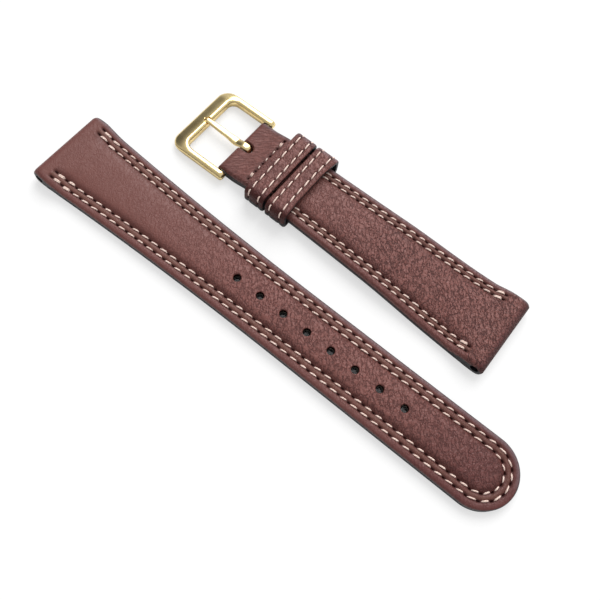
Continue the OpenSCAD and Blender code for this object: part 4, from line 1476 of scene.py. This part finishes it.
        # Both ends are sewn over twice, which leaves a short thick knot
        for pair in (row[:2], row[-2:]):
            middle = pair.mean(0)
            for aside in (-0.16, 0.16):
                thread.row(middle + (pair - middle) * 0.9 + [aside, 0, 0.04],
                           self.stitch_gap / 2, UP)
        thread.place("fold", self.offset, self.body, looks)


@dataclass
class Stitching:
    """Rows of stitches, each a short thread that dips into its needle holes."""

    radius: float
    seed: int
    rings: int = 6
    sides: int = 8
    dip: float = 0.2
    arch: float = 0.05
    slant: float = 0.11
    tubes: list[Array] = field(default_factory=list)

    def row(self, holes: Array, margin: float, up: Sequence[float] | Array,
            ends_doubled: int = 0, bow: float = 0.0) -> None:
        """Adds the stitches between neighbouring needle holes.

        A stitch's middle line rises in an arch from its holes and lies a little aslant. Its
        thickness is full along the middle and tapers at both ends.

        Args:
            holes: Places of the needle holes, in mm, at the height of the thread's middle.
            margin: How far a stitch stays from its holes' middles.
            up: The direction away from the leather, for all stitches or for each one.
            ends_doubled: How many stitches at each end have a second thread beside them.
            bow: How far the leather's face rises between two holes.
        """
        draw = np.random.default_rng(self.seed + len(self.tubes))
        start, end = holes[:-1], holes[1:]
        up = np.broadcast_to(np.asarray(up, float), start.shape)
        along = end - start
        length = np.linalg.norm(along, axis=1, keepdims=True)
        along = along / length
        side = np.cross(up, along)
        count = len(start)
        if ends_doubled:
            chosen = np.concatenate([np.arange(ends_doubled),
                                     np.arange(count - ends_doubled, count)])
            pick = np.concatenate([np.arange(count), chosen])
            shift = np.concatenate([np.zeros(count), np.full(len(chosen), 1.5 * self.radius)])
            shift[chosen] = -0.35 * self.radius
            start, up, along, side, length = (a[pick] for a in (start, up, along, side, length))
            start = start + side * (shift * draw.choice([-1, 1], len(pick)))[:, None] * 0.8
            count = len(pick)
        gap = margin * draw.uniform(0.75, 1.1, (count, 1))
        t = np.linspace(0, 1, self.rings)
        reach = gap + (length - 2 * gap) * t
        ends = np.abs(2 * t - 1)
        lean = self.slant * draw.uniform(0.6, 1.3, (count, 1)) * (2 * t - 1)
        height = self.arch - (self.arch + self.dip) * ends ** 5 + draw.normal(0, 0.012, (count, 1))
        height = height + bow * (1 - ends ** 2)
        middle = (start[:, None] + along[:, None] * reach[..., None]
                  + side[:, None] * lean[..., None] + up[:, None] * height[..., None])
        girth = self.radius * draw.uniform(0.92, 1.05, (count, 1)) * (1 - 0.5 * ends ** 4)
        a = 2 * np.pi * np.arange(self.sides) / self.sides
        ring = (side[:, None, None] * np.cos(a)[:, None] * 1.05
                + up[:, None, None] * np.sin(a)[:, None] * 0.95)
        self.tubes.append(middle[:, :, None] + ring * girth[..., None, None])

    def mesh(self, name: str, offset: Sequence[float]) -> bpy.types.Mesh:
        """The mesh of all rows, with each point's reach along its stitch and turn round it."""
        shape = Mesh()
        tubes = np.concatenate(self.tubes)
        for tube in tubes:
            shape.grid(tube, wrap=True, caps=True)
        done = shape.build(name, offset)
        count, rings, sides = tubes.shape[:3]
        span = np.linalg.norm(tubes[:, -1, 0] - tubes[:, 0, 0], axis=1)
        reach = span[:, None, None] * np.linspace(0, 1, rings)[None, :, None] * np.ones(sides)
        turn = np.broadcast_to(np.arange(sides) / sides, (count, rings, sides))
        smooth(done, 60)
        paint(done, reach=reach.ravel(), turn=turn.ravel())
        return done

    def place(self, name: str, offset: Sequence[float], body: str, looks: Looks) -> None:
        """Puts all rows into the scene as NAME_stitches, in place of the node NAME_thread."""
        set_piece(f"{name}_stitches", self.mesh(f"{name}_stitches", offset), body, Slot.THREAD,
                  looks, f"{name}_thread")


@dataclass
class Keeper:
    """A keeper: a band of cover leather with a lining, bent into a loop, with two stitch rows."""

    name: str
    body: str
    place: tuple[float, float]
    middle: float
    lined_from: float
    seed: int
    half: float = 10.144
    height: float = 6.0
    width: float = 5.3
    corner: float = 1.8
    flare: float = 0.0
    leather: float = 0.55
    wall: float = 0.95
    row_gap: float = 2.7
    thread_radius: float = 0.18
    thread_depth: float = 0.18
    stitch_pitch: float = 2.65
    stitch_margin: float = 0.3
    rim: float = 0.42
    rim_depth: float = 0.34
    valley_depth: float = 0.13
    valley_half: float = 0.5
    hole_depth: float = 0.1
    steps: int = 420
    lining_steps: int = 160

    @property
    def offset(self) -> tuple[float, float, float]:
        """Where the keeper's own origin lies in the frame."""
        return self.place[0] + self.middle, self.place[1], 0.0

    def path(self, steps: int) -> tuple[Array, Array, Array]:
        """The outer outline from its floor's middle: a rectangle with round corners.

        Args:
            steps: Number of places along it.

        Returns:
            The places (v, z), the outward normals, and the distance along the outline.
        """
        c, h = self.corner, self.height
        flat, rise = self.half - c, h - 2 * c
        bend = math.pi * c / 2
        lengths = np.array([flat, bend, rise, bend, 2 * flat, bend, rise, bend, flat])
        marks = np.concatenate([[0], np.cumsum(lengths)])
        s = np.linspace(0, marks[-1], steps, endpoint=False)
        quarters = np.array([0, 0, 1, 1, 2, 2, 3, 3, 4, 4])
        turn = -np.pi / 2 + np.interp(s, marks, np.pi / 2 * quarters)
        normal = stacked(np.cos(turn), np.sin(turn))
        v = np.interp(s, marks, [0, flat, flat, flat, flat, -flat, -flat, -flat, -flat, 0])
        z = np.interp(s, marks, [c, c, c, h - c, h - c, h - c, h - c, c, c, c])
        return stacked(v, z) + c * normal, normal, s

    def band(self, outer: Array, across: Array, inner: float, floor: float) -> Array:
        """A closed band: its outer face at given depths, its inner face, and its two edges.

        Args:
            outer: Depth of the outer face under the outline, along the path by across.
            across: Places across the band for the outer face.
            inner: Depth of the inner face.
            floor: Height of the inner face over the floor, where it is thicker than elsewhere.

        Returns:
            The points, along the path by round the section by 3.
        """
        place, normal, _ = self.path(len(outer))
        reach = np.concatenate([across, across[::-1][[0, len(across) // 2, -1]] * 0.995])
        deep = np.concatenate([outer, np.full((len(outer), 3), inner)], 1)
        at = place[:, None] - normal[:, None] * deep[..., None]
        at[..., 1] = np.where((deep >= inner - 1e-6) & (at[..., 1] < floor), floor, at[..., 1])
        return stacked(reach * self.spread(reach, at[..., 0]), at[..., 0], at[..., 1])

    def spread(self, x: Array, v: Array) -> Array:
        """How much wider than elsewhere the band's lug side is at its shoulders."""
        out = ease((np.abs(v) - 4) / 5.5) * np.where(v > 0, 1, 0.6)
        return 1 + self.flare * out * (np.asarray(x) > 0)

    def outer_face(self, across: Array) -> Array:
        """Depth of the outer face: rounded edges, a crown between the rows, and their valleys."""
        _, _, s = self.path(self.steps)
        past = np.clip((np.abs(across) - self.width / 2 + self.rim) / self.rim, 0, 1)
        rim = self.rim_depth * (1 - np.sqrt(np.clip(1 - past ** 2, 0, 1)))
        d = np.broadcast_to(rim, (self.steps, len(across))).copy()
        hole = needle(s, self.stitch_pitch)[:, None]
        for row in (-1, 1):
            side = across - row * self.row_gap / 2
            d += (bell(side / self.valley_half) * (self.valley_depth + 0.04 * hole)
                  + self.hole_depth * bell(side / 0.28) * np.clip(hole - 0.55, 0, 1) / 0.45)
        return d

    def build(self, looks: Looks) -> None:
        """Builds the leather band, its lining and its stitches.

        Args:
            looks: The material of each slot.
        """
        half = self.width / 2
        fine = np.linspace(-1, 1, 9) * 0.52
        rim = self.rim * (1 - np.cos(np.radians([0, 18, 36, 54, 72, 90])))
        across = np.unique(np.round(np.concatenate([
            -half + rim, half - rim, -self.row_gap / 2 + fine, self.row_gap / 2 + fine,
            [-0.5, 0, 0.5]]), 4))
        points = self.band(self.outer_face(across), across, self.leather, self.leather)
        mesh = self.ring(f"{self.name}_band", points)
        self.dress(mesh)
        set_piece(f"{self.name}_band", mesh, self.body, Slot.COVER, looks, self.name)

        span = np.linspace(-half + 0.03, half - 0.03, 7)
        flat = np.full((self.lining_steps, len(span)), self.leather + 0.01)
        points = self.band(flat, span, self.wall, self.lined_from)
        lining = self.ring(f"{self.name}_inner_band", points)
        smooth(lining)
        x = coordinates(lining)[:, 0] - self.offset[0]
        paint(lining, edge=ease((np.abs(x) - half + 0.2) / 0.1))
        set_piece(f"{self.name}_inner_band", lining, self.body, Slot.LINING, looks,
                  f"{self.name}_lining")
        self.stitches().place(self.name, self.offset, self.body, looks)

    def ring(self, name: str, points: Array) -> bpy.types.Mesh:
        """A band's mesh, with its last section joined to the first."""
        return closed_mesh(name, np.concatenate([points, points[:1]]), self.offset, caps=False)

    def stitches(self) -> "Stitching":
        """Both rows, from one lower corner over the top to the other."""
        thread = Stitching(self.thread_radius, self.seed, rings=10)
        place, normal, s = self.path(2000)
        whole = s[-1] + s[1]
        count = round(whole / self.stitch_pitch)
        marks = (np.arange(count + 1) / count * whole)[:-1]
        v, z = (np.interp(marks, s, place[:, k]) for k in (0, 1))
        nv, nz = (np.interp(marks, s, normal[:, k]) for k in (0, 1))
        depth = self.thread_depth - self.thread_radius - SEAT
        up = stacked(0.0, nv, nz)
        upper = z > self.corner * 0.9
        for row in (-1, 1):
            x = row * self.row_gap / 2
            holes = stacked(x * self.spread(x, v), v - nv * depth, z - nz * depth)
            for k in np.flatnonzero(upper[:-1] & upper[1:]):
                pair, out = holes[k:k + 2], up[k] + up[k + 1]
                out = out / np.linalg.norm(out)
                peak = [np.interp((marks[k] + marks[k + 1]) / 2, s, place[:, i]) for i in (0, 1)]
                bow = float((np.array(peak) - pair[:, 1:].mean(0)) @ out[1:])
                thread.row(pair, self.stitch_margin, out[None], bow=max(bow - SEAT, 0.0))
        return thread

    def dress(self, mesh: bpy.types.Mesh) -> None:
        """Stores on the band where its paint, valleys and needle holes are, and where shade and a
        sheen are painted.

        Args:
            mesh: The band, in place.
        """
        x, v, z = (coordinates(mesh) - np.array(self.offset)).T
        x = x / self.spread(x, v)
        # The nearest place on the outline tells how deep a point lies and how far along it is
        flat, rise = self.half - self.corner, self.height - self.corner
        cv, cz = np.clip(v, -flat, flat), np.clip(z, self.corner, rise)
        depth = self.corner - np.hypot(v - cv, z - cz)
        half = self.width / 2
        edge = ease((depth - 0.26) / 0.12) * ease((np.abs(x) - half + 0.3) / 0.1)
        edge = np.maximum(edge, ease((2.75 - z) / 0.5) * ease((np.abs(v) - self.half + 1.2) / 0.3))
        hole = needle(self.along(v, z), self.stitch_pitch)
        # The valleys and needle holes of the rows are painted darker, as shade in them
        valley, pit = np.zeros(len(x)), np.zeros(len(x))
        for row in (-1, 1):
            side = np.abs(x - row * self.row_gap / 2)
            valley = np.maximum(valley, bell(side / self.valley_half) * (0.6 + 0.2 * hole))
            pit = np.maximum(pit, bell(side / 0.3) * ease((hole - 0.62) / 0.3))
        # The near shoulder and the near side are painted dark red as shade, with some uneven red
        # tone, and the far shoulder gets a painted sheen
        shoulder = ease((-v - self.half + 3.4) / 2.4) + 0.35 * waves(x, v, 7, self.seed)
        valley = np.maximum(valley, 0.75 * ease((-v - self.half + 1.9) / 1.6))
        smooth(mesh, 60)
        paint(mesh, edge=edge, valley=valley, pit=pit, pebble=np.full(len(x), 0.6),
              warm=np.clip(0.12 + shoulder, 0, 1), faded=ease((v - self.half + 2.0) / 1.2))

    def along(self, v: Array, z: Array) -> Array:
        """How far along the outline a point lies, counted as in path."""
        c, flat, rise = self.corner, self.half - self.corner, self.height - 2 * self.corner
        bend = math.pi * c / 2
        whole = 4 * flat + 4 * bend + 2 * rise
        turn = np.arctan2(z - np.clip(z, c, self.height - c), np.abs(v) - flat)
        side = flat + bend * (1 + turn / (np.pi / 2)) + np.clip(z - c, 0, rise)
        floor = np.where(v >= 0, v, whole + v)
        top = flat + 2 * bend + rise + flat - v
        side = np.where(v > 0, side, whole - side)
        return np.where(np.abs(v) > flat, side, np.where(z < self.height / 2, floor, top))


@dataclass
class Buckle:
    """The gold frame and its tongue, both hung on the spring bar."""

    bar: tuple[float, float, float]
    reach: float = 14.8
    front_bar: float = 3.8
    arm_inner: float = 8.2
    frame_half: float = 10.2
    thickness: float = 2.2
    corner: float = 3.0
    inner_corner: float = 1.6
    tongue_overlap: float = 1.25
    notch_depth: float = 0.5
    ring_radius: float = 1.52
    ring_width: float = 1.9
    tongue_width: float = 1.3
    hump_width: float = 2.0
    back_width: float = 1.35
    tongue_thickness: float = 1.0
    shank_top: float = 0.9
    ring_run: float = 2.5
    ring_fill: float = 0.2
    bore: float = 0.8

    @property
    def tilt(self) -> float:
        """The frame's turn about the bar, at which its front bar lies just over the table."""
        drop = self.bar[2] - self.thickness / 2 - SEAT
        return math.asin(drop / (self.reach - self.front_bar / 4))

    @property
    def tip(self) -> float:
        """How far from the bar's axis the tongue ends."""
        return self.reach - self.front_bar + self.tongue_overlap

    def hung(self, points: Array) -> Array:
        """Turns points round the bar by the frame's tilt and sets them on the bar."""
        c, s = math.cos(self.tilt), math.sin(self.tilt)
        x, y, z = points[..., 0], points[..., 1], points[..., 2]
        return stacked(x * c - z * s, y, x * s + z * c) + np.array(self.bar)

    def frame_path(self) -> tuple[Array, Array, Array]:
        """The frame from above: its outer and inner outline, matched place by place.

        Returns:
            Outer points, inner points, and how much a place belongs to the front bar.
        """
        r = self.thickness / 2
        knuckle = r * np.sin(np.radians(np.linspace(86, 0, 12)))
        arm = np.linspace(0, -(self.reach - self.corner), 90)[1:]
        x_arm = np.concatenate([knuckle, arm])
        turn = np.radians(np.linspace(0, 90, 26))[1:]
        y_front = np.concatenate([np.linspace(-1, -0.2, 45), np.linspace(-0.2, 0.2, 60)[1:-1],
                                  np.linspace(0.2, 1, 45)])[1:-1]
        inner_x = -(self.reach - self.front_bar - self.inner_corner)
        n = len(x_arm) + len(turn)

        def outline(x: Array, corner_x: float, half: float, r: float, front: float) -> Array:
            """One arm, its corner of radius r, the front bar, and the mirrored rest."""
            side = [stacked(x, -half), stacked(corner_x - r * np.sin(turn),
                                               -half + r - r * np.cos(turn))]
            side = np.concatenate([*side, stacked(front, y_front * (half - r))])
            return np.concatenate([side, side[:n][::-1] * [1, -1]])

        out = outline(x_arm, -self.reach + self.corner, self.frame_half, self.corner, -self.reach)
        ins = outline(np.where(x_arm > 0, x_arm, x_arm * inner_x / arm[-1]), inner_x,
                      self.arm_inner, self.inner_corner, -self.reach + self.front_bar)
        share = ease((-(out[:, 0] + ins[:, 0]) / 2 - 9) / 3.5)
        return out, ins, share

    def frame_height(self, a: Array, share: Array) -> Array:
        """Half the frame's thickness at the place a across it.

        On the arms it is round, like a superellipse. On the front bar it rises in a round bevel
        from the inner edge (a = -1) to a narrow crest, slopes down outwards by 0.24 t + 0.34 t^2,
        and ends in a round edge (a = 1). The two are mixed by share.
        """
        high = self.thickness / 2
        arm = high * (1 - np.abs(a) ** 2.6) ** (1 / 2.6)
        crest, brim = -0.6, 0.72
        inner = (1 - np.clip((crest - a) / (1 + crest), 0, 1) ** 2.4) ** (1 / 2.4)
        t = np.clip((a - crest - 0.08) / (brim - crest), 0, 1.2)
        slope = 1 - 0.24 * t - 0.34 * t * t
        outer = (1 - np.clip((a - brim) / (1 - brim), 0, 1) ** 2.2) ** (1 / 2.2)
        return (1 - share) * arm + share * high * inner * slope * outer

    def frame_mesh(self) -> bpy.types.Mesh:
        """The frame: its section carried along its path, with the tongue's notch pressed in."""
        out, ins, share = self.frame_path()
        high = self.thickness / 2
        half = np.linalg.norm(out - ins, axis=1)[:, None] / 2
        a = np.broadcast_to(np.sin(np.radians(np.linspace(-90, 90, 45))), (len(out), 45))
        z = self.frame_height(a, share[:, None])
        a = np.concatenate([a, a[:, -2:0:-1]], 1)
        z = np.concatenate([z, -z[:, -2:0:-1]], 1)
        mean = (out + ins)[:, None] / 2
        # The arms' ends are round about the bar's axis, and their corners are rounded off
        past = np.clip((out[:, :1] - 0.35) / (high - 0.35), 0, 1)
        a = a * (1 - 0.62 / half * (1 - np.sqrt(1 - 0.97 * past ** 2)))
        at = mean + (out - ins)[:, None] / 2 * a[..., None]
        x = at[..., 0]
        z = z * np.sqrt(np.clip(1 - (np.maximum(x, 0) / high) ** 2, 0.004, 1))
        y = at[..., 1]
        floor = high - self.notch_depth
        beyond = np.hypot(np.maximum(-x - self.tip + self.tongue_width / 2, 0), y)
        wall = ease((beyond - self.tongue_width / 2 - 0.1) / 0.3)
        z = np.where((z > 0) & (x < -5), np.minimum(z, floor + (self.notch_depth + 0.2) * wall), z)
        mesh = closed_mesh("buckle_frame_shell", self.hung(stacked(x, y, z)))
        smooth(mesh, 35)
        return mesh

    def tongue_mesh(self) -> bpy.types.Mesh:
        """The tongue: one wire, flattened and curled round the bar, with a bend behind its ring.

        A section of superellipse form is carried along a path: from the tip along the shank, up
        to the ring, over the bar and round it. s is the distance from the bar's axis.
        """
        tip, point_run, power = self.tip, 0.6, 0.72
        rest = self.thickness / 2 - self.notch_depth + 0.02
        s = np.concatenate([tip - point_run * (1 - np.cos(np.radians(np.linspace(8, 90, 9)))),
                            np.linspace(tip - point_run, 0, 90)[1:]])
        risen = ease(s / (self.reach - self.front_bar - 0.5))
        low = (self.shank_top - self.tongue_thickness) * (1 - risen) + rest * risen
        thick = self.tongue_thickness * (1 - 0.4 * ease(s / tip))
        over = (self.ring_radius - self.shank_top) * (1 - ease((s - 0.3) / self.ring_run))
        strip = self.ring_radius - self.bore
        thin = 1 - ease((s - 0.2) / 2.4)
        top = low + thick + over
        thick = thick * (1 - thin) + strip * thin
        shank = stacked(-s, top - thick / 2)
        mean = (self.ring_radius + self.bore) / 2
        a = np.radians(np.linspace(90, -208, 70))[1:]
        full = np.where(a > 0, self.ring_fill * np.sin(2 * a) ** 2, 0)
        ring = (mean + full / 2)[:, None] * stacked(np.cos(a), np.sin(a))
        line = np.concatenate([shank, ring])
        thick = np.concatenate([thick, strip + full])
        shank_width = (self.tongue_width + 0.4 * bell((s - 6.5) / 5)
                       + (self.hump_width - self.tongue_width) * (1 - ease((s - 2.9) / 2.6))
                       - (self.hump_width - self.ring_width) * (1 - ease((s - 1) / 1.6)))
        back = self.ring_width + (self.back_width - self.ring_width) * ease(1 - a / (np.pi / 2))
        width = np.concatenate([shank_width, back])
        blunt = 1 - (1 - (tip - s) / point_run).clip(0, 1) ** 2
        point = np.concatenate([np.sqrt(np.clip(blunt, 0.02, 1)), np.ones(len(ring))])
        run = np.gradient(line, axis=0)
        run /= np.linalg.norm(run, axis=1, keepdims=True)
        normal = stacked(run[:, 1], -run[:, 0])
        q = np.linspace(0, 2 * np.pi, 29)[:-1]
        across = np.sign(np.cos(q)) * np.abs(np.cos(q)) ** power
        up = np.sign(np.sin(q)) * np.abs(np.sin(q)) ** power
        y = across * (width * point)[:, None] / 2
        rise = up * (thick * np.sqrt(point))[:, None] / 2
        at = line[:, None] + normal[:, None] * rise[..., None]
        mesh = closed_mesh("buckle_tongue_wire", self.hung(stacked(at[..., 0], y, at[..., 1])))
        smooth(mesh)
        return mesh

    def build(self, looks: Looks) -> None:
        """Builds the frame and the tongue."""
        set_piece("buckle_frame_shell", self.frame_mesh(), "buckle", Slot.GOLD, looks,
                  "buckle_frame")
        set_piece("buckle_tongue_wire", self.tongue_mesh(), "tongue", Slot.GOLD, looks,
                  "buckle_tongue")


@dataclass
class SpringBar:
    """The spring bar: a tube with rolled ends, two shouldered tips and a coil spring."""

    bar: tuple[float, float, float]
    half: float = 7.95
    radius: float = 0.75
    wall: float = 0.2
    tip_radius: float = 0.36
    tip_end: float = 9.2
    clearance: float = 0.05
    seat: float = 0.02
    turns: int = 12
    wire: float = 0.1
    tip_travel: float = 1.12
    # Length of a tip's thick inner end, radius of the tube's mouth, and its rounded edge's radius
    shank: float = 1.0
    mouth: float = 0.41
    soft: float = 0.12

    def turned(self, profile: Sequence[tuple[float, float]], closed: bool) -> bpy.types.Mesh:
        """A part turned about the bar's axis, from its profile of (radius, distance along Y)."""
        rows = across_y(lathe(profile + profile[:1] if closed else profile, 40))
        mesh = closed_mesh("turned_part", rows + np.array(self.bar), caps=not closed)
        smooth(mesh, 35)
        return mesh

    def build(self, looks: Looks) -> None:
        """Builds the tube, the tips and the spring.

        Args:
            looks: The material of each slot.
        """
        h, r, bore, mouth = self.half, self.radius, self.radius - self.wall, self.mouth
        soft = [(r - self.soft * (1 - math.cos(a)), h - self.soft * (1 - math.sin(a)))
                for a in np.radians([0, 30, 60, 90])]
        groove = [(r, 0.5 * h), (r - 0.06, 0.5 * h - 0.1), (r - 0.06, 0.5 * h - 0.35),
                  (r, 0.5 * h - 0.45)]
        outside = [*soft[::-1], *groove, *[(a, -b) for a, b in groove[::-1]],
                   *[(a, -b) for a, b in soft]]
        tube = [(mouth, h), *outside, (mouth, -h), (mouth, -h + self.wall), (bore, -h + self.wall),
                (bore, h - self.wall), (mouth, h - self.wall)]
        set_piece("bar_tube_shell", self.turned(tube, True), "short_strap", Slot.STEEL, looks,
                  "bar_tube")
        shoulder = bore - self.clearance
        end = h - self.wall - self.seat
        thin, far = self.tip_radius, self.tip_end
        profile = [(AXIS, end - self.shank), (shoulder - 0.06, end - self.shank),
                   (shoulder, end - 0.94), (shoulder, end - 0.04), (shoulder - 0.04, end),
                   (thin, end), (thin, far - 0.14), (thin - 0.04, far - 0.05),
                   (thin - 0.12, far), (AXIS, far)]
        for side, name in ((-1, "near"), (1, "far")):
            pin = self.turned([(a, side * b) for a, b in profile], False)
            set_piece(f"bar_tip_{name}_pin", pin, f"{name}_tip", Slot.STEEL, looks,
                      f"bar_tip_{name}")
        self.spring(looks)

    def spring(self, looks: Looks) -> None:
        """The coil: a round wire whose middle line is a helix about the bar's axis.

        Each half of it gives way to its own tip, towards the bar's middle.
        """
        radius = self.radius - self.wall - self.clearance - self.wire - self.seat
        half = self.half - self.wall - self.seat - self.shank - self.wire - self.seat
        b = np.linspace(0, 2 * np.pi, 13)[:-1]
        r = radius + self.wire * np.cos(b)
        for side, tip in ((-1, "near"), (1, "far")):
            a = side * np.linspace(0, np.pi * self.turns, self.turns * 14 + 1)[:, None]
            y = half * a / (np.pi * self.turns) + self.wire * np.sin(b)
            helix = stacked(r * np.cos(a), y, -r * np.sin(a)) + np.array(self.bar)
            mesh = closed_mesh(f"bar_spring_{tip}_half", helix)
            smooth(mesh, 60)
            coil = set_piece(f"bar_spring_{tip}_half", mesh, "short_strap", Slot.STEEL, looks,
                             "bar_spring")
            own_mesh(coil)


@dataclass(frozen=True)
class Studio:
    """A white table, a large soft light from the upper left of the picture, and the camera.

    Directions are in the frame's axes, and the camera's places are in mm from the first hole.
    """

    camera_place: tuple = (38.46, -42.628, 140.38)
    look_at: tuple = (13.12, 5.762, 0.0)
    roll: float = 11.62
    lens: float = 41.12
    sensor: float = 36.0
    clip: tuple[float, float] = (0.005, 20.0)
    floor_size: float = 3.0
    floor_height: float = -0.05
    glow: float = 0.55
    # Half the length and width of the part of the table that isn't brightened
    unlit: tuple[float, float] = (31.0, 6.0)
    # The sky's levels away from the bright side and towards it, and the cosines where they end
    bright_side: tuple = (0.15, 0.8, 0.5)
    sky: tuple[float, float] = (0.5, 0.86)
    sky_ends: tuple[float, float] = (-0.2, 0.85)
    # A dark wall low on one side, which shows in the metal, between two cosines
    dark_side: tuple = (-0.86, 0.2, 0.45)
    dark_cone: tuple[float, float] = (0.88, 1.0)
    dark_level: float = 0.2
    key_from: tuple = (-0.24, 0.65, 0.68)
    key_distance: float = 2.0
    key_size: float = 1.5
    key_power: float = 32.5

    def camera(self, anchor: Array) -> None:
        """Sets the camera from its place and aim.

        Args:
            anchor: Place of the first adjusting hole on the floor, in mm.
        """
        eye, aim = anchor + np.array(self.camera_place), anchor + np.array(self.look_at)
        view = (aim - eye) / np.linalg.norm(aim - eye)
        level = np.cross(view, UP)
        level /= np.linalg.norm(level)
        rise = np.cross(level, view)
        a = math.radians(self.roll)
        right = math.cos(a) * level + math.sin(a) * rise
        up = -math.sin(a) * level + math.cos(a) * rise
        data = bpy.data.cameras.new("camera")
        data.sensor_width, data.lens = self.sensor, self.lens
        data.clip_start, data.clip_end = self.clip
        camera = add_object("camera", data)
        pose = np.eye(4)
        pose[:3] = np.stack([right, up, -view, eye * MM], 1)
        camera.matrix_world = Matrix(pose.tolist())
        bpy.context.scene.camera = camera

    def key(self) -> None:
        """A soft square lamp that faces the strap."""
        data = bpy.data.lights.new("key", "AREA")
        data.size, data.energy = self.key_size, self.key_power
        lamp = add_object("key", data)
        towards = Vector(self.key_from).normalized()
        lamp.rotation_euler = towards.to_track_quat("Z", "Y").to_euler()
        lamp.location = towards * self.key_distance

    def floor(self, anchor: Array) -> None:
        """A plain white table, which keeps the strap's shadow.

        Args:
            anchor: Place of the first adjusting hole on the floor, in mm. Under the row of holes
                the table isn't brightened, so the holes are dark.
        """
        shape = Mesh()
        half = self.floor_size / 2 / MM
        shape.grid(np.array([[[x, y, self.floor_height] for x in (-half, half)]
                             for y in (-half, half)]))
        mesh = shape.build("table")
        g = Graph("white_table")
        g.set(Base_Color=(0.99, 0.99, 0.99, 1), Roughness=1.0, Specular_IOR_Level=0.0)
        bright = g.add("ShaderNodeEmission", {"Color": WHITE, "Strength": 1.0}).outputs[0]
        x, y, _ = g.add("ShaderNodeSeparateXYZ", {0: g.place}).outputs
        reach, across = self.unlit
        x = g.apart(x, float(anchor[0]) + 0.75 * reach)
        y = g.apart(y, float(anchor[1]))
        open_floor = g.sum("MAXIMUM", g.sum("GREATER_THAN", x, reach),
                           g.sum("GREATER_THAN", y, across))
        seen = g.add("ShaderNodeLightPath").outputs["Is Camera Ray"]
        mix = g.add("ShaderNodeMixShader", {0: g.times(seen, self.glow, open_floor),
                                            1: g.shader.outputs[0], 2: bright})
        g.feed(g.output.inputs["Surface"], mix.outputs[0])
        mesh.materials.append(g.material)
        add_object("table", mesh)

    def world(self) -> None:
        """White all round for the camera, and a soft sky that is darker away from the light."""
        world = bpy.data.worlds.new("studio")
        bpy.context.scene.world = world
        world.use_nodes = True
        g = Nodes(world.node_tree)
        place = g.add("ShaderNodeTexCoord").outputs["Generated"]
        bright, dark = (g.vector("DOT_PRODUCT", place, Vector(side).normalized(), "Value")
                        for side in (self.bright_side, self.dark_side))
        level = g.times(g.ramp(bright, *self.sky_ends, *self.sky, kind="LINEAR"),
                        g.ramp(dark, *self.dark_cone, 1.0, self.dark_level))
        sky = g.add("ShaderNodeBackground", {"Color": WHITE, "Strength": level}).outputs[0]
        white = g.add("ShaderNodeBackground", {"Color": WHITE}).outputs[0]
        seen = g.add("ShaderNodeLightPath").outputs["Is Camera Ray"]
        mix = g.add("ShaderNodeMixShader", {0: seen, 1: sky, 2: white}).outputs[0]
        g.add("ShaderNodeOutputWorld", {"Surface": mix})

    def build(self, anchor: Array) -> None:
        """Sets the camera, the table, the sky and the lamp."""
        self.camera(anchor)
        self.floor(anchor)
        self.world()
        self.key()
        bpy.context.scene.view_settings.view_transform = "Standard"


def main() -> None:
    """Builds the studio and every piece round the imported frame."""
    logging.basicConfig(level=logging.INFO, format="%(name)s: %(message)s")
    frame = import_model()
    hinge = next(joint for joint in frame["joints"] if joint["name"] == "buckle_hinge")
    bar = tuple(1 / MM * p for p in hinge["pos_m"])

    def middle(node: str, axis: int) -> float:
        """The middle of a node along an axis, in mm."""
        low, high = (np.array(corner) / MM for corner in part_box(node))
        return float((low[axis] + high[axis]) / 2)

    # The round ends' first sections lie a little inside the pieces' true ends
    long_place = (-62.1, middle("long_cover", 1))
    short_place = (-32.0, middle("short_cover", 1))
    long_piece = LongPiece("long", long_place, "long_strap", (1.75, 3.3), length=124.2, seed=3)
    short_piece = ShortPiece("short", short_place, "short_strap", (1.65, 2.95), length=75.3, seed=8)
    Studio().build(np.array([long_place[0] + long_piece.first_hole, long_place[1], 0.0]))
    looks = make_looks()
    long_piece.build(looks)
    short_piece.build(looks)
    # The free keeper is worn a little wider at its shoulders
    for name, body, lined_from, seed, flare in (("fixed_keeper", "short_strap", 1.05, 21, 0.0),
                                                ("free_keeper", "free_keeper", 0.95, 22, 0.2)):
        Keeper(name, body, short_place, middle(name, 0) - short_place[0], lined_from, seed,
               flare=flare).build(looks)
    Buckle(bar).build(looks)
    SpringBar(bar).build(looks)


if __name__ == "__main__":
    main()
